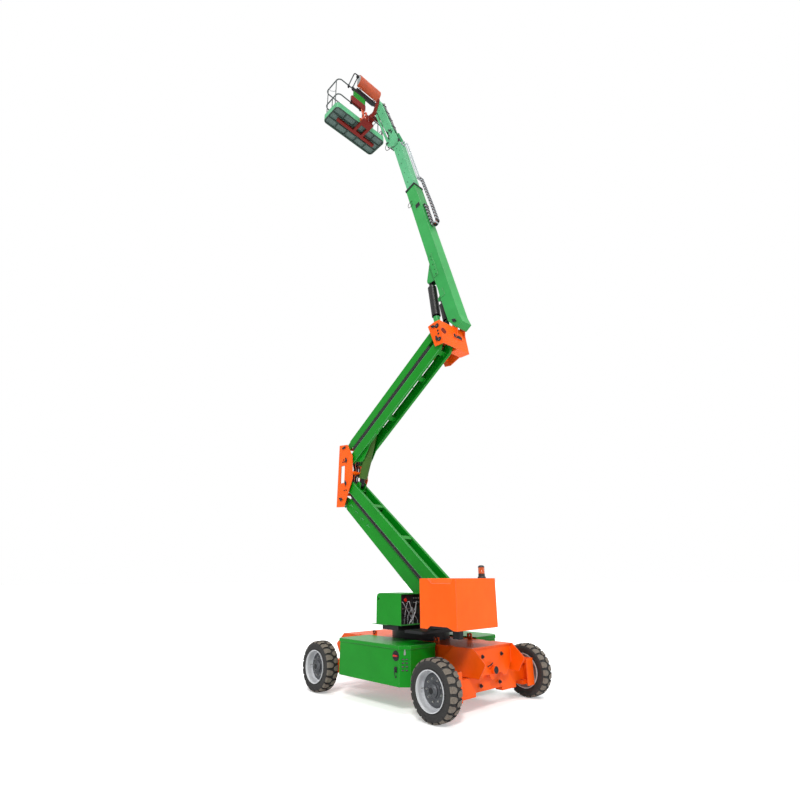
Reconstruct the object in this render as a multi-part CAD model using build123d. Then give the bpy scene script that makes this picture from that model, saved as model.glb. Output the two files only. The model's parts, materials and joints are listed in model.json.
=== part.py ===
from build123d import *
import os
from math import atan2, cos, degrees, hypot, radians, sin

# Articulating boom lift on four wheels, millimetres.
# +X points where the boom reaches, +Y is the machine's left and +Z is up.
# The work below is done from the point of the ground under the slewing axis;
# the finished model is moved at the end so that its origin is the middle of
# its bounding box, on the ground.

# ---------------------------------------------------------------- sizes
# wheels and axles
tyre_dia = 735
tyre_width = 235
tyre_bead_dia = 462
rim_lip_dia = 478
rim_wall = 9
wheelbase = 2522
track = 2085
spindle_dia = 90
kingpin_y = 845
kingpin_dia = 60
knuckle_face_y = 914
steer_arm_length = 190
steer_limit = 38

# chassis
deck_height = 797
frame_half_width = 400
frame_bottom = 330
frame_plate = 12
bridge_half_width = 460
end_plate_x = 1385

# battery boxes
box_front_x = 728
box_rear_x = -740
box_inner_y = 470
box_outer_y = 1080
box_bottom = 315
box_top = 772
box_wall = 6
box_chamfer = 112
lid_top = 820
lid_gap = 6
lid_plate = 4
lid_open_angle = 17
lid_hinge = (466, 806)
lid_hinge_x = (-420, 420)

# turret
slew_ring_dia = 920
slew_ring_top = 930
turntable_bottom = 936
turntable_plate = 22
base_top = 1000
tail_floor = 1084
hood_x = (-1562, -897)
hood_y = (-100, 932)
hood_z = (1046, 1690)
hood_wall = 6
hood_open_angle = 55
hood_hinge = (-120, 1672)
hood_hinge_x = (-1370, -1000)
cabinet_x = (-482, 62)
cabinet_y = (455, 900)
cabinet_z = (1046, 1482)
cabinet_wall = 5

# risers: two equal parallelograms, folded as a "<"
riser_y = 160
riser_length = 3091
riser_angle_low = 39.3
riser_angle_high = 35.2
riser_travel = (-37, 3)
riser_foot = (-745, 1498)
riser_half_width = 155
riser_beam = 50
riser_depth = 200
high_riser_drop = 60
low_link_pin = (128, -299)
high_link_pin = (80, 270)
link_half_width = 100
low_link_depth = 237
high_link_depth = 170
link_wall = 8
knuckle_half_width = 200
knuckle_plate = 14
knuckle_pin_gap = (8, 461)
riser_pin_dia = 60

# riser cylinder, along and off each riser's pin line
riser_rod_lug = (riser_length - 211, 120)
riser_barrel_lug = (800, 60)
riser_barrel_dia = 145
riser_rod_dia = 100
riser_barrel_length = 535
riser_rod_length = 600
riser_guard_dia = (167, 157)
riser_guard_gap = 125
riser_guard_length = 420

# telescopic boom
boom_y = -200
boom_angle = 74
boom_angle_limits = (5, 75)
boom_pivot_from_riser_pin = (-63, 508)
boom_width = 260
boom_depth = 270
boom_wall = 8
boom_length = 4060
fly_width = 212
fly_depth = 222
fly_wall = 7
fly_root = 2440
fly_end = 5840
tip_pin_s = 5900
telescope_travel = (-1400, 100)
tube_dia = 34
tube_height = 112
chain_run = (2690, 4200)
chain_thickness = 34
chain_half_width = 55
chain_bend = (150, 325)

# boom cylinders: eyes along and off the boom, feet from the boom pivot
lift_eye = (1335, -310)
lift_foot = (433, -587)
lift_barrel_dia = 130
lift_barrel_length = 935
lift_rod_length = 930
lift_rod_dia = 105
level_eye = (757, -208)
level_foot = (173, -493)
level_barrel_dia = 90
level_barrel_length = 640
level_rod_length = 625
level_rod_dia = 60

# jib
jib_pivot_from_tip = (187.6, 562.1)
jib_angle = 70.8
jib_angle_limits = (-42, 72)
jib_length = 1620
jib_width = 180
jib_depth = 170
jib_offset = -70
jib_wall = 7
jib_link_pin = (98, -362)
jib_link_y = (-139, -107)
jib_barrel_foot = (40, -250)
jib_rod_eye = (1300, -190)
jib_barrel_dia = 80
jib_barrel_length = 960
jib_rod_length = 990
jib_rod_dia = 50

# platform
rotator_from_floor = (-120, -150)
rotator_dia = 190
swing_limit = 75
floor_below_jib_head = 470
floor_ahead_of_jib_head = 547.2
floor_length = 661
floor_y = (-855, 855)
rail_dia = 34
toe_height = 170
toe_wall = 4
floor_corner = 110
floor_height = 34
deck_plate = 4
tread_panel = 3
rail_heights = (530, 1090)
rail_inset = 12
rail_corner = 110
gate_half_width = 200

cover_dia = 374
cover_y = (-440, 285)
cover_hinge_gap = (92, 13)

running_gap = 6
hole_gap = 0.5
seat_gap = 0.4


# ---------------------------------------------------------------- helpers
def block(x0, x1, y0, y1, z0, z1):
    """A box between three pairs of coordinates."""
    size = (abs(x1 - x0), abs(y1 - y0), abs(z1 - z0))
    return Pos((x0 + x1) / 2, (y0 + y1) / 2, (z0 + z1) / 2) * Box(*size)


def slab_y(points, y0, y1):
    """A plate whose outline lies in the XZ plane, from y0 to y1."""
    low, high = min(y0, y1), max(y0, y1)
    face = make_face(Polyline(*[(x, 0, z) for x, z in points], close=True))
    return Pos(0, low, 0) * extrude(face, amount=high - low, dir=(0, 1, 0))


def slab_x(points, x0, x1):
    """A plate whose outline lies in the YZ plane, from x0 to x1."""
    low, high = min(x0, x1), max(x0, x1)
    face = make_face(Polyline(*[(0, y, z) for y, z in points], close=True))
    return Pos(low, 0, 0) * extrude(face, amount=high - low, dir=(1, 0, 0))


def slab_z(points, z0, z1):
    """A plate whose outline lies in the XY plane, from z0 to z1."""
    low, high = min(z0, z1), max(z0, z1)
    face = make_face(Polyline(*[(x, y, 0) for x, y in points], close=True))
    return Pos(0, 0, low) * extrude(face, amount=high - low, dir=(0, 0, 1))


def rod_y(x, z, dia, y0, y1):
    """A round bar along Y."""
    return Pos(x, (y0 + y1) / 2, z) * Rot(90, 0, 0) * Cylinder(dia / 2, abs(y1 - y0))


def rod_x(y, z, dia, x0, x1):
    """A round bar along X."""
    return Pos((x0 + x1) / 2, y, z) * Rot(0, 90, 0) * Cylinder(dia / 2, abs(x1 - x0))


def rod_z(x, y, dia, z0, z1):
    """A round bar along Z."""
    return Pos(x, y, (z0 + z1) / 2) * Cylinder(dia / 2, abs(z1 - z0))


def tube_x(x0, x1, y, z, width, depth, wall):
    """A square tube along X, centred on y and z."""
    outer = block(x0, x1, y - width / 2, y + width / 2, z - depth / 2, z + depth / 2)
    hole = block(x0 - 1, x1 + 1, y - width / 2 + wall, y + width / 2 - wall,
                 z - depth / 2 + wall, z + depth / 2 - wall)
    return outer - hole


def bent_tube(points, dia, radius):
    """A round rail along straight runs joined by equal bends."""
    path = FilletPolyline(*points, radius=radius)
    start = Plane(origin=path @ 0, z_dir=path % 0)
    return sweep(start * Circle(dia / 2), path=path)


def polar(origin, angle, length):
    """The point at a distance from an XZ point, along an angle above +X."""
    return (origin[0] + length * cos(radians(angle)),
            origin[1] + length * sin(radians(angle)))


def shifted(point, offset):
    """An XZ point moved by an XZ offset."""
    return (point[0] + offset[0], point[1] + offset[1])


def turned(origin, angle, along, off):
    """The XZ point at given distances along and square to a member."""
    c, s = cos(radians(angle)), sin(radians(angle))
    return (origin[0] + along * c - off * s, origin[1] + along * s + off * c)


def member(origin, angle):
    """Where a member built along +X from its pin stands on the machine."""
    return Location((origin[0], 0, origin[1]), (0, -angle, 0))


def heading(start, end):
    """The angle above +X and the length from one XZ point to another."""
    dx, dz = end[0] - start[0], end[1] - start[1]
    return degrees(atan2(dz, dx)), hypot(dx, dz)


def mirrored(shape):
    """The same shape on the other side of the machine."""
    return mirror(shape, about=Plane.XZ)


# ---------------------------------------------------------------- pins
axle_z = tyre_dia / 2
p_foot = riser_foot
p_mid_low = polar(p_foot, riser_angle_low, riser_length)
p_mid_high = shifted(p_mid_low, knuckle_pin_gap)
p_top = polar(p_mid_high, 180 - riser_angle_high, riser_length)
p_low_link_foot = shifted(p_foot, low_link_pin)
p_low_link_head = shifted(p_mid_low, low_link_pin)
p_high_link_foot = shifted(p_mid_high, high_link_pin)
p_high_link_head = shifted(p_top, high_link_pin)
p_boom = shifted(p_top, boom_pivot_from_riser_pin)
p_riser_rod = turned(p_foot, riser_angle_low, *riser_rod_lug)
p_riser_barrel = turned(p_mid_high, 180 - riser_angle_high, riser_barrel_lug[0], -riser_barrel_lug[1])
p_lift_eye = turned(p_boom, boom_angle, *lift_eye)
p_lift_foot = shifted(p_boom, lift_foot)
p_level_eye = turned(p_boom, boom_angle, *level_eye)
p_level_foot = shifted(p_boom, level_foot)
p_tip = turned(p_boom, boom_angle, tip_pin_s, 0)
p_jib = tuple(round(v) for v in shifted(p_tip, jib_pivot_from_tip))
p_jib_link_foot = shifted(p_jib, jib_link_pin)
p_jib_head = polar(p_jib, jib_angle, jib_length)
p_jib_link_head = shifted(p_jib_head, jib_link_pin)
p_jib_barrel = shifted(p_jib, jib_barrel_foot)
p_jib_rod = turned(p_jib, jib_angle, *jib_rod_eye)

# the platform hangs on the jib head, at whole millimetres
floor_x0 = round(p_jib_head[0] + floor_ahead_of_jib_head)
floor_x = (floor_x0, floor_x0 + floor_length)
floor_z = round(p_jib_head[1] - floor_below_jib_head)
floor_top = floor_z + floor_height
rotator = (floor_x0 + rotator_from_floor[0], rotator_from_floor[1])
rail_top = floor_z + rail_heights[1] + rail_dia / 2
cover_hinge = (floor_x0 - cover_hinge_gap[0], rail_top + cover_hinge_gap[1])

near_plate = (riser_y + knuckle_half_width - knuckle_plate, riser_y + knuckle_half_width)
far_plate = (riser_y - knuckle_half_width, riser_y - knuckle_half_width + knuckle_plate)
near_beam = (riser_y + riser_half_width - riser_beam, riser_y + riser_half_width)
far_beam = (riser_y - riser_half_width, riser_y - riser_half_width + riser_beam)
link_span = (riser_y - link_half_width, riser_y + link_half_width)

nodes = {}


# ---------------------------------------------------------------- wheels
def wheel_parts():
    """One tyre and one rim with its hub, about the Y axis, outer face to +Y."""
    half = tyre_width / 2
    bead, outer = tyre_bead_dia / 2, tyre_dia / 2
    tyre_section = [(bead, -half + 28), (bead + 34, -half), (outer - 62, -half),
                    (outer - 14, -half + 24), (outer, -half + 46), (outer, half - 46),
                    (outer - 14, half - 24), (outer - 62, half), (bead + 34, half),
                    (bead, half - 28)]
    seat, lip, bore = bead - 0.5, rim_lip_dia / 2, spindle_dia / 2 + hole_gap
    rim_section = [(lip, half + 3), (lip, half - 7), (seat, half - 22), (seat, -half + 22),
                   (lip, -half + 7), (lip, -half - 3), (lip - rim_wall, -half - 3),
                   (seat - rim_wall, -half + 24), (seat - rim_wall, -20), (172, 4), (95, 4),
                   (95, -60), (bore, -60), (bore, 62), (0, 62), (0, 78), (60, 78), (80, 62),
                   (80, 24), (95, 20), (178, 20), (seat - rim_wall, 0),
                   (seat - rim_wall, half - 24), (lip - rim_wall, half + 3)]
    solids = []
    for section in (tyre_section, rim_section):
        face = make_face(Polyline(*[(r, y, 0) for r, y in section], close=True))
        solids.append(revolve(face, axis=Axis.Y))
    return solids


def spindle(sy):
    """Motor housing and spindle of one wheel, seen from the wheel centre."""
    face = knuckle_face_y - track / 2
    body = rod_y(0, 0, 180, face, -66) + rod_y(0, 0, spindle_dia, -70, 56)
    return body if sy > 0 else mirrored(body)


for end, sx in (("front", 1), ("rear", -1)):
    for side, sy in (("left", 1), ("right", -1)):
        tyre, rim = wheel_parts()
        stand = Location((sx * wheelbase / 2, sy * track / 2, axle_z), (0, 0, 0 if sy > 0 else 180))
        nodes[f"{end}_{side}_tyre"] = stand * tyre
        nodes[f"{end}_{side}_rim"] = stand * rim


# ---------------------------------------------------------------- axles
def front_axle():
    """Fixed beam with a mounting plate and spindle at each end."""
    x = wheelbase / 2
    beam = block(x - 70, x + 60, -800, 800, 240, 430)
    for s in (1, -1):
        beam += block(x - 90, x + 90, s * 780, s * (knuckle_face_y - 14), 190, 500)
        beam += block(x - 150, x + 150, s * (knuckle_face_y - 14), s * knuckle_face_y, 215, 520)
        beam += Pos(x, s * track / 2, axle_z) * spindle(s)
    return beam


def rear_axle():
    """Beam with a kingpin boss at each end and low drop plates."""
    x = -wheelbase / 2
    beam = block(x - 49, x + 71, -820, 820, 270, 430)
    beam += block(x - 49, x + 71, -520, 520, 240, 272)
    for s in (1, -1):
        beam += block(x - 49, x + 71, s * 300, s * 640, 190, 272)
        beam += rod_z(x, s * kingpin_y, 98, 270, 470)
        beam -= rod_z(x, s * kingpin_y, kingpin_dia + 2 * hole_gap, 260, 480)
    return beam


def steer_knuckle(s):
    """C bracket round the kingpin boss, carrying the spindle and a steer arm."""
    x = -wheelbase / 2
    inner = knuckle_face_y - 14
    body = block(x - 189, x + 150, s * inner, s * knuckle_face_y, 205, 560)
    for z0, z1 in ((205, 262), (478, 560)):
        body += block(x - 75, x + 75, s * 780, s * (inner + 2), z0, z1)
    body += rod_z(x, s * kingpin_y, kingpin_dia, 250, 500)
    body += block(x - 189, x - 175, s * 745, s * (inner + 2), 205, 560)
    body += block(x + 40, x + steer_arm_length, s * 825, s * 865, 225, 262)
    body += rod_z(x + steer_arm_length, s * kingpin_y, 76, 225, 262)
    body += rod_z(x + steer_arm_length, s * kingpin_y, 30, 255, 318)
    return body + Pos(x, s * track / 2, axle_z) * spindle(s)


def tie_rod():
    """Straight bar between the two steer arms."""
    x = -wheelbase / 2 + steer_arm_length
    bar = rod_y(x, 292, 40, -kingpin_y, kingpin_y)
    for s in (1, -1):
        bar += rod_z(x, s * kingpin_y, 70, 268, 312)
    for s in (1, -1):
        bar -= rod_z(x, s * kingpin_y, 30 + 2 * hole_gap, 260, 330)
    return bar


nodes["front_axle"] = front_axle()
nodes["rear_axle"] = rear_axle()
nodes["steer_knuckle_left"] = steer_knuckle(1)
nodes["steer_knuckle_right"] = steer_knuckle(-1)
nodes["tie_rod"] = tie_rod()


# ---------------------------------------------------------------- chassis
def chassis_frame():
    """Box frame with a bent bridge over each axle and a recessed end plate."""
    t, w = frame_plate, frame_half_width
    outer = [(-end_plate_x, deck_height), (-end_plate_x, 445), (-1140, 445), (-1040, frame_bottom),
             (1040, frame_bottom), (1140, 445), (end_plate_x, 445), (end_plate_x, deck_height)]
    inner = [(-end_plate_x + t, deck_height - t), (-end_plate_x + t, 445 + t), (-1135, 445 + t),
             (-1035, frame_bottom + t), (1035, frame_bottom + t), (1135, 445 + t),
             (end_plate_x - t, 445 + t), (end_plate_x - t, deck_height - t)]
    frame = slab_y(outer, -w, w) - slab_y(inner, -w + t, w - t)
    frame += block(-930, 930, -455, 455, deck_height - t, deck_height)
    b = bridge_half_width
    for s in (1, -1):
        roof = [(905, 657), (1077, deck_height), (1421, deck_height), (1617, 625), (1600, 585),
                (1500, 440), (1130, 440), (905, 560)]
        cut = [(880, 560), (919, 650), (1082, deck_height - 13), (1408, deck_height - 13),
               (1408, deck_height + 5), (1640, deck_height + 5), (1640, 300), (880, 300)]
        bridge = slab_y([(s * x, z) for x, z in roof], -b, b)
        bridge -= slab_y([(s * x, z) for x, z in cut], -b + t, b - t)
        plate = [(-b + t - 1, 790), (-b + t - 1, 560), (-330, 401), (-250, 401), (-200, 442),
                 (-75, 442), (-40, 376), (40, 376), (75, 442), (200, 442), (250, 401), (330, 401),
                 (b - t + 1, 560), (b - t + 1, 790)]
        frame += bridge + slab_x(plate, s * (end_plate_x - t), s * end_plate_x)
        frame += rod_x(0, 495, 110, s * (end_plate_x - 5), s * (end_plate_x + 60))
        # seat that carries the axle beam
        frame += block(s * (wheelbase / 2) - 45, s * (wheelbase / 2) + 45, -260, 260, 430, 450)
    # brackets that carry the battery boxes
    for s in (1, -1):
        for x in (-450, 450):
            frame += block(x - 60, x + 60, s * (w - 5), s * box_inner_y, 400, 700)
    # lifting eyes on the deck
    for sx in (1, -1):
        for sy in (1, -1):
            eye = block(sx * 690 - 45, sx * 690 + 45, sy * 380 - 8, sy * 380 + 8, deck_height - 2, 880)
            frame += eye - rod_y(sx * 690, 845, 36, sy * 380 - 20, sy * 380 + 20)
    return frame


def slew_ring():
    """Fixed outer ring of the slewing bearing."""
    ring = rod_z(0, 0, slew_ring_dia, deck_height, slew_ring_top)
    ring -= rod_z(0, 0, slew_ring_dia - 160, deck_height - 5, slew_ring_top + 5)
    return ring


nodes["chassis_frame"] = chassis_frame()
nodes["slew_ring"] = slew_ring()


def box_outline(grow):
    """Plan of a battery box on the left side, grown outwards on three sides."""
    f, r, o, i = box_front_x + grow, box_rear_x - grow, box_outer_y + grow, box_inner_y
    c = box_chamfer + 0.4 * grow
    return [(f, i), (f, o - 22), (f - 22, o), (r + c, o), (r, o - c), (r, i)]


def battery_box():
    """Open tray with its rear outer corner cut off."""
    tray = slab_z(box_outline(0), box_bottom, box_top)
    hollow = box_outline(-box_wall)
    for i in (0, -1):
        hollow[i] = (hollow[i][0], box_inner_y + box_wall)
    tray -= slab_z(hollow, box_bottom + box_wall, box_top + 1)
    y, z = lid_hinge
    for xc in lid_hinge_x:
        for x in (xc - 32, xc + 32):
            tray += block(x - 5, x + 5, y - 8, y + 7, 740, z + 7)
        tray += rod_x(y, z, 10, xc - 34, xc + 34)
    return tray


def battery_lid():
    """Flat lid with a skirt on its three open sides, hinged along the inner edge."""
    g = lid_gap + lid_plate
    lid = slab_z(box_outline(g), box_top, lid_top)
    cut = [(x, y) for x, y in box_outline(lid_gap)]
    cut[0] = (cut[0][0], box_inner_y - 5)
    cut[-1] = (cut[-1][0], box_inner_y - 5)
    lid -= slab_z(cut, box_top - 1, lid_top - lid_plate)
    plate = block(box_rear_x + 20, box_front_x - 20, box_inner_y + 30, box_outer_y - 130,
                  box_top + 2, lid_top - lid_plate + 1)
    frame = plate - block(box_rear_x + 60, box_front_x - 60, box_inner_y + 60, box_outer_y - 170,
                          box_top, lid_top - lid_plate)
    lid += frame
    y, z = lid_hinge
    for x in lid_hinge_x:
        lid += rod_x(y, z, 18, x - 20, x + 20) + block(x - 20, x + 20, y + 2, y + 30, z + 5, lid_top - 2)
        lid -= rod_x(y, z, 10 + 2 * hole_gap, x - 21, x + 21)
    return lid


def battery_pack():
    """Plain block for the cells inside one box."""
    return block(-560, 660, 500, 1020, box_bottom + box_wall, 690)


for side, turn in (("left", lambda shape: shape), ("right", mirrored)):
    nodes[f"battery_box_{side}"] = turn(battery_box())
    nodes[f"battery_lid_{side}"] = turn(battery_lid())
    nodes[f"battery_pack_{side}"] = turn(battery_pack())


# ---------------------------------------------------------------- turret
def turret_frame():
    """Turntable, base plate, tail and the two tall plates that hold the riser."""
    frame = rod_z(0, 0, slew_ring_dia - 160 - 2 * seat_gap, 840, turntable_bottom + 2)
    frame += rod_z(0, 0, slew_ring_dia + 40, turntable_bottom, turntable_bottom + turntable_plate)
    frame += block(-900, 430, -420, 440, turntable_bottom + turntable_plate - 2, base_top)
    frame += block(hood_x[0] + 122, -884, -90, 900, tail_floor - 30, tail_floor)
    frame += block(-900, -884, -90, 440, base_top - 30, tail_floor)
    frame += block(-900, -560, 430, 900, base_top - 36, base_top)
    frame += block(-400, -60, 430, 880, base_top - 20, base_top + 40)
    frame += block(-300, 480, -880, -410, base_top - 20, base_top + 40)
    frame += block(-1290, -1170, 490, 570, 905, tail_floor - 25)
    ear = [(-888, base_top - 10), (-850, 1500), (-815, 1560), (-745, 1580), (-680, 1555),
           (-655, 1480), (-520, 1260), (-480, 1150), (-480, base_top - 10)]
    for y0, y1 in ((riser_y - 190, riser_y - 165), (riser_y + 165, riser_y + 190)):
        frame += slab_y(ear, y0, y1)
    frame += block(-886, -874, riser_y - 180, riser_y + 180, base_top - 5, 1290)
    x, z = p_foot
    frame += rod_y(x, z, riser_pin_dia, near_beam[0] - 6, riser_y + 205)
    frame += rod_y(x, z, riser_pin_dia, riser_y - 205, far_beam[1] + 6)
    x, z = p_low_link_foot
    frame += rod_y(x, z, riser_pin_dia, riser_y - 205, riser_y + 205)
    # bulkhead and bearings for the tail hood
    frame += block(-1430, -925, -96, -88, tail_floor - 5, 1640)
    y, z = hood_hinge
    for xc in hood_hinge_x:
        for x in (xc - 32, xc + 32):
            frame += block(x - 5, x + 5, y - 12, -90, 1600, z - 12)
            frame += block(x - 5, x + 5, y - 12, y + 10, z - 14, z + 12)
        frame += rod_x(y, z, 14, xc - 35, xc + 35)
    return frame


def tail_hood():
    """Sheet cover over the tail, hinged along its inner top edge."""
    (x0, x1), (y0, y1), (z0, z1), t = hood_x, hood_y, hood_z, hood_wall

    def shell(g):
        plan = [(x1 - g, y0 - (1 if g else 0)), (x1 - g, y1 - g), (x0 + g, y1 - g),
                (x0 + g, y0 + 160 - 0.4 * g), (x0 + 112 + 1.2 * g, y0 - (1 if g else 0))]
        body = slab_z(plan, z0 - (1 if g else 0), z1 - g)
        depth, edge = 70, y1 + 1 - g * 1.42
        wedge = [(edge, z1 - depth), (edge, z1 + 1), (edge - depth - 1, z1 + 1)]
        ends = [(x0 + 38 - g, z1 + 2), (x0 + 96 - g, z1 - depth - g), (x1 - 232 + g, z1 - depth - g),
                (x1 - 142 + g, z1 + 2)]
        return body - (slab_x(wedge, x0 + 20, x1 - 120) & slab_y(ends, edge - 120, edge + 20))

    hood = shell(0) - shell(t)
    hood -= slab_y([(-1500, z0 - 1), (-1390, z0 + 39), (-1090, z0 + 39), (-1030, z0 - 1)], y1 - 20, y1 + 5)
    hood -= block(x1 - t - 2, x1 + 2, y0 - 5, y1 - 20, z0 - 1, tail_floor + 8)
    y, z = hood_hinge
    for x in hood_hinge_x:
        hood += rod_x(y, z, 26, x - 20, x + 20) + block(x - 20, x + 20, y, y0 + 2, z1 - 8, z1)
        hood -= rod_x(y, z, 14 + 2 * hole_gap, x - 21, x + 21)
    return hood


def control_cabinet():
    """Sheet box beside the riser, open towards the tail."""
    (x0, x1), (y0, y1), (z0, z1), t = cabinet_x, cabinet_y, cabinet_z, cabinet_wall
    profile = [(x0, z0), (x1, z0), (x1, z1 - 60), (x1 - 18, z1 - 18), (x1 - 60, z1), (x0, z1)]
    inner = [(x0 - 1, z0 + t), (x1 - t, z0 + t), (x1 - t, z1 - 61), (x1 - 22, z1 - 22),
             (x1 - 61, z1 - t), (x0 - 1, z1 - t)]
    box = slab_y(profile, y0, y1) - slab_y(inner, y0 + t, y1 - t)
    box += block(x1 - 260, x1 + 85, y1 - 60, y1 + 12, z0 - 6, z0 + 2)
    box += block(x1 - 2, x1 + 85, y0 + 60, y1 - 50, z0 - 6, z0 + 2)
    box -= rod_y(x1 - 50, z1 - 85, 34, y1 - 20, y1 + 5)
    return box


def right_cover():
    """Closed sheet cover over the valves on the machine's right."""
    outer = [(-350, 1040), (550, 1040), (550, 1400), (430, 1550), (-350, 1550)]
    inner = [(-345, 1039), (545, 1039), (545, 1398), (428, 1545), (-345, 1545)]
    return slab_y(outer, -890, -425) - slab_y(inner, -885, -430)


(hx0, hx1), (cx0, cx1) = hood_x, cabinet_x
nodes["turret_frame"] = turret_frame()
nodes["tail_hood"] = tail_hood()
nodes["counterweight"] = block(-1430, -1180, 70, 880, tail_floor, 1400)
nodes["power_unit"] = block(-1150, -975, 40, 860, tail_floor, 1480)
nodes["control_cabinet"] = control_cabinet()
nodes["control_panel"] = block(cx0 + 42, cx0 + 50, cabinet_y[0] + 5.5, cabinet_y[1] - 5.5,
                               cabinet_z[0] + 5.5, cabinet_z[1] - 5.5)
nodes["right_cover"] = right_cover()
nodes["beacon"] = (rod_z(-1300, 20, 124, hood_z[1], 1712) + rod_z(-1300, 20, 100, 1710, 1850)
                   + rod_z(-1300, 20, 70, 1849, 1872))


# ---------------------------------------------------------------- risers
def beam_outline(length, top, bottom, tip):
    """Side view of a riser beam with narrowed ends round its pins."""
    mid = (top + bottom) / 2
    low, high = max(bottom, -tip), min(top, tip)
    return [(-tip, -25), (-tip + 35, low), (90, bottom), (length - 90, bottom),
            (length + tip - 35, low), (length + tip, -25), (length + tip, 25),
            (length + tip - 35, min(high, 65)), (length - 90, top), (90, top),
            (-tip + 35, min(high, 65)), (-tip, 25)]


def riser_beams(top, bottom):
    """Two parallel beams with a pin hole at each end."""
    pair = None
    for y0, y1 in (near_beam, far_beam):
        beam = slab_y(beam_outline(riser_length, top, bottom, 72), y0, y1)
        for s in (0, riser_length):
            beam -= rod_y(s, 0, riser_pin_dia + 2 * hole_gap, y0 - 5, y1 + 5)
        pair = beam if pair is None else pair + beam
    return pair


def lower_riser():
    """Twin beams with rungs and, near the head, the bracket for the rod eye."""
    body = riser_beams(riser_depth / 2, -riser_depth / 2)
    gap = (far_beam[1] - 2, near_beam[0] + 2)
    for s, h0, h1 in ((150, -60, 60), (1235, -60, 90), (2190, 40, 90)):
        body += block(s - 45, s + 45, gap[0], gap[1], h0, h1)
    s, h = riser_rod_lug
    body += block(s - 110, s + 90, gap[0], gap[1], 20, 40)
    for y0, y1 in ((riser_y - 72, riser_y - 58), (riser_y + 58, riser_y + 72)):
        plate = slab_y([(s - 105, 30), (s - 48, h + 52), (s + 20, h + 52), (s + 85, 30)], y0, y1)
        body += plate
        body += rod_y(s, h, 90, y0 - (6 if y0 < riser_y else 0), y1 + (6 if y0 > riser_y else 0))
    return body


def upper_riser():
    """Twin beams with inner cheek plates that carry the riser cylinder."""
    top, bottom = riser_depth / 2 + high_riser_drop, -riser_depth / 2 + high_riser_drop
    body = riser_beams(top, bottom)
    gap = (far_beam[1] - 2, near_beam[0] + 2)
    for s in (1279, 2275, 2900):
        body += block(s - 45, s + 45, gap[0], gap[1], 0, 90)
    s, h = riser_barrel_lug
    cheek = [(110, 60), (110, 120), (215, 238), (290, 293), (370, 270), (640, 160), (1010, 150),
             (1010, 0), (s + 90, -h - 30), (s + 40, -h - 70), (s - 40, -h - 70), (s - 90, -h - 30),
             (500, -30), (300, -20)]
    for y0, y1 in ((far_beam[1] - 2, far_beam[1] + 10), (near_beam[0] - 10, near_beam[0] + 2)):
        body += slab_y(cheek, y0, y1)
    body += rod_y(s, -h, 60, far_beam[1] + 2, near_beam[0] - 2)
    return body


def link_box(length, up, down, reach):
    """Square tube between pins with two eye plates at each end."""
    y0, y1 = link_span
    t = link_wall
    tube = block(reach, length - reach, y0, y1, -down, up)
    tube -= block(reach - 1, length - reach + 1, y0 + t, y1 - t, -down + t, up - t)
    for a, b in ((y0, y0 + 16), (y1 - 16, y1)):
        for pin, d in ((0, 1), (length, -1)):
            outline = [(pin - d * 70, -25), (pin - d * 40, -60), (pin + d * (reach + 60), -down + t + 1),
                       (pin + d * (reach + 60), up - t - 1), (pin - d * 40, 60), (pin - d * 70, 25)]
            eye = slab_y(outline, a, b) - rod_y(pin, 0, riser_pin_dia + 2 * hole_gap, a - 5, b + 5)
            tube += eye
    return tube


def mid_knuckle():
    """Two shaped plates joined by cross tubes, carrying the four middle pins."""
    (x3, z3), (x2, z2) = p_mid_low, p_mid_high
    outline = [(x3 + 258, z3 + 809), (x3 - 1, z3 + 781), (x3 - 172, z3 + 520), (x3 - 198, z3 + 70),
               (x3 + 40, z3 - 460), (x3 + 279, z3 - 443)]
    window = block(x3 + 53, x3 + 179, -100, 400, z3 + 17, z3 + 362)
    body = None
    for y0, y1 in (near_plate, far_plate):
        plate = slab_y(outline, y0, y1) - window
        body = plate if body is None else body + plate
    for dx, dz, dia in ((-160, 186, 70), (215, 620, 60), (225, -170, 60)):
        body += rod_y(x3 + dx, z3 + dz, dia, far_plate[0] + 4, near_plate[1] - 4)
    for x, z in (p_mid_low, p_mid_high):
        body += rod_y(x, z, riser_pin_dia, near_beam[0] - 6, near_plate[1] + 12)
        body += rod_y(x, z, riser_pin_dia, far_plate[0] - 12, far_beam[1] + 6)
    for x, z in (p_low_link_head, p_high_link_foot):
        body += rod_y(x, z, riser_pin_dia, far_plate[0] - 12, near_plate[1] + 12)
    return body


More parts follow.
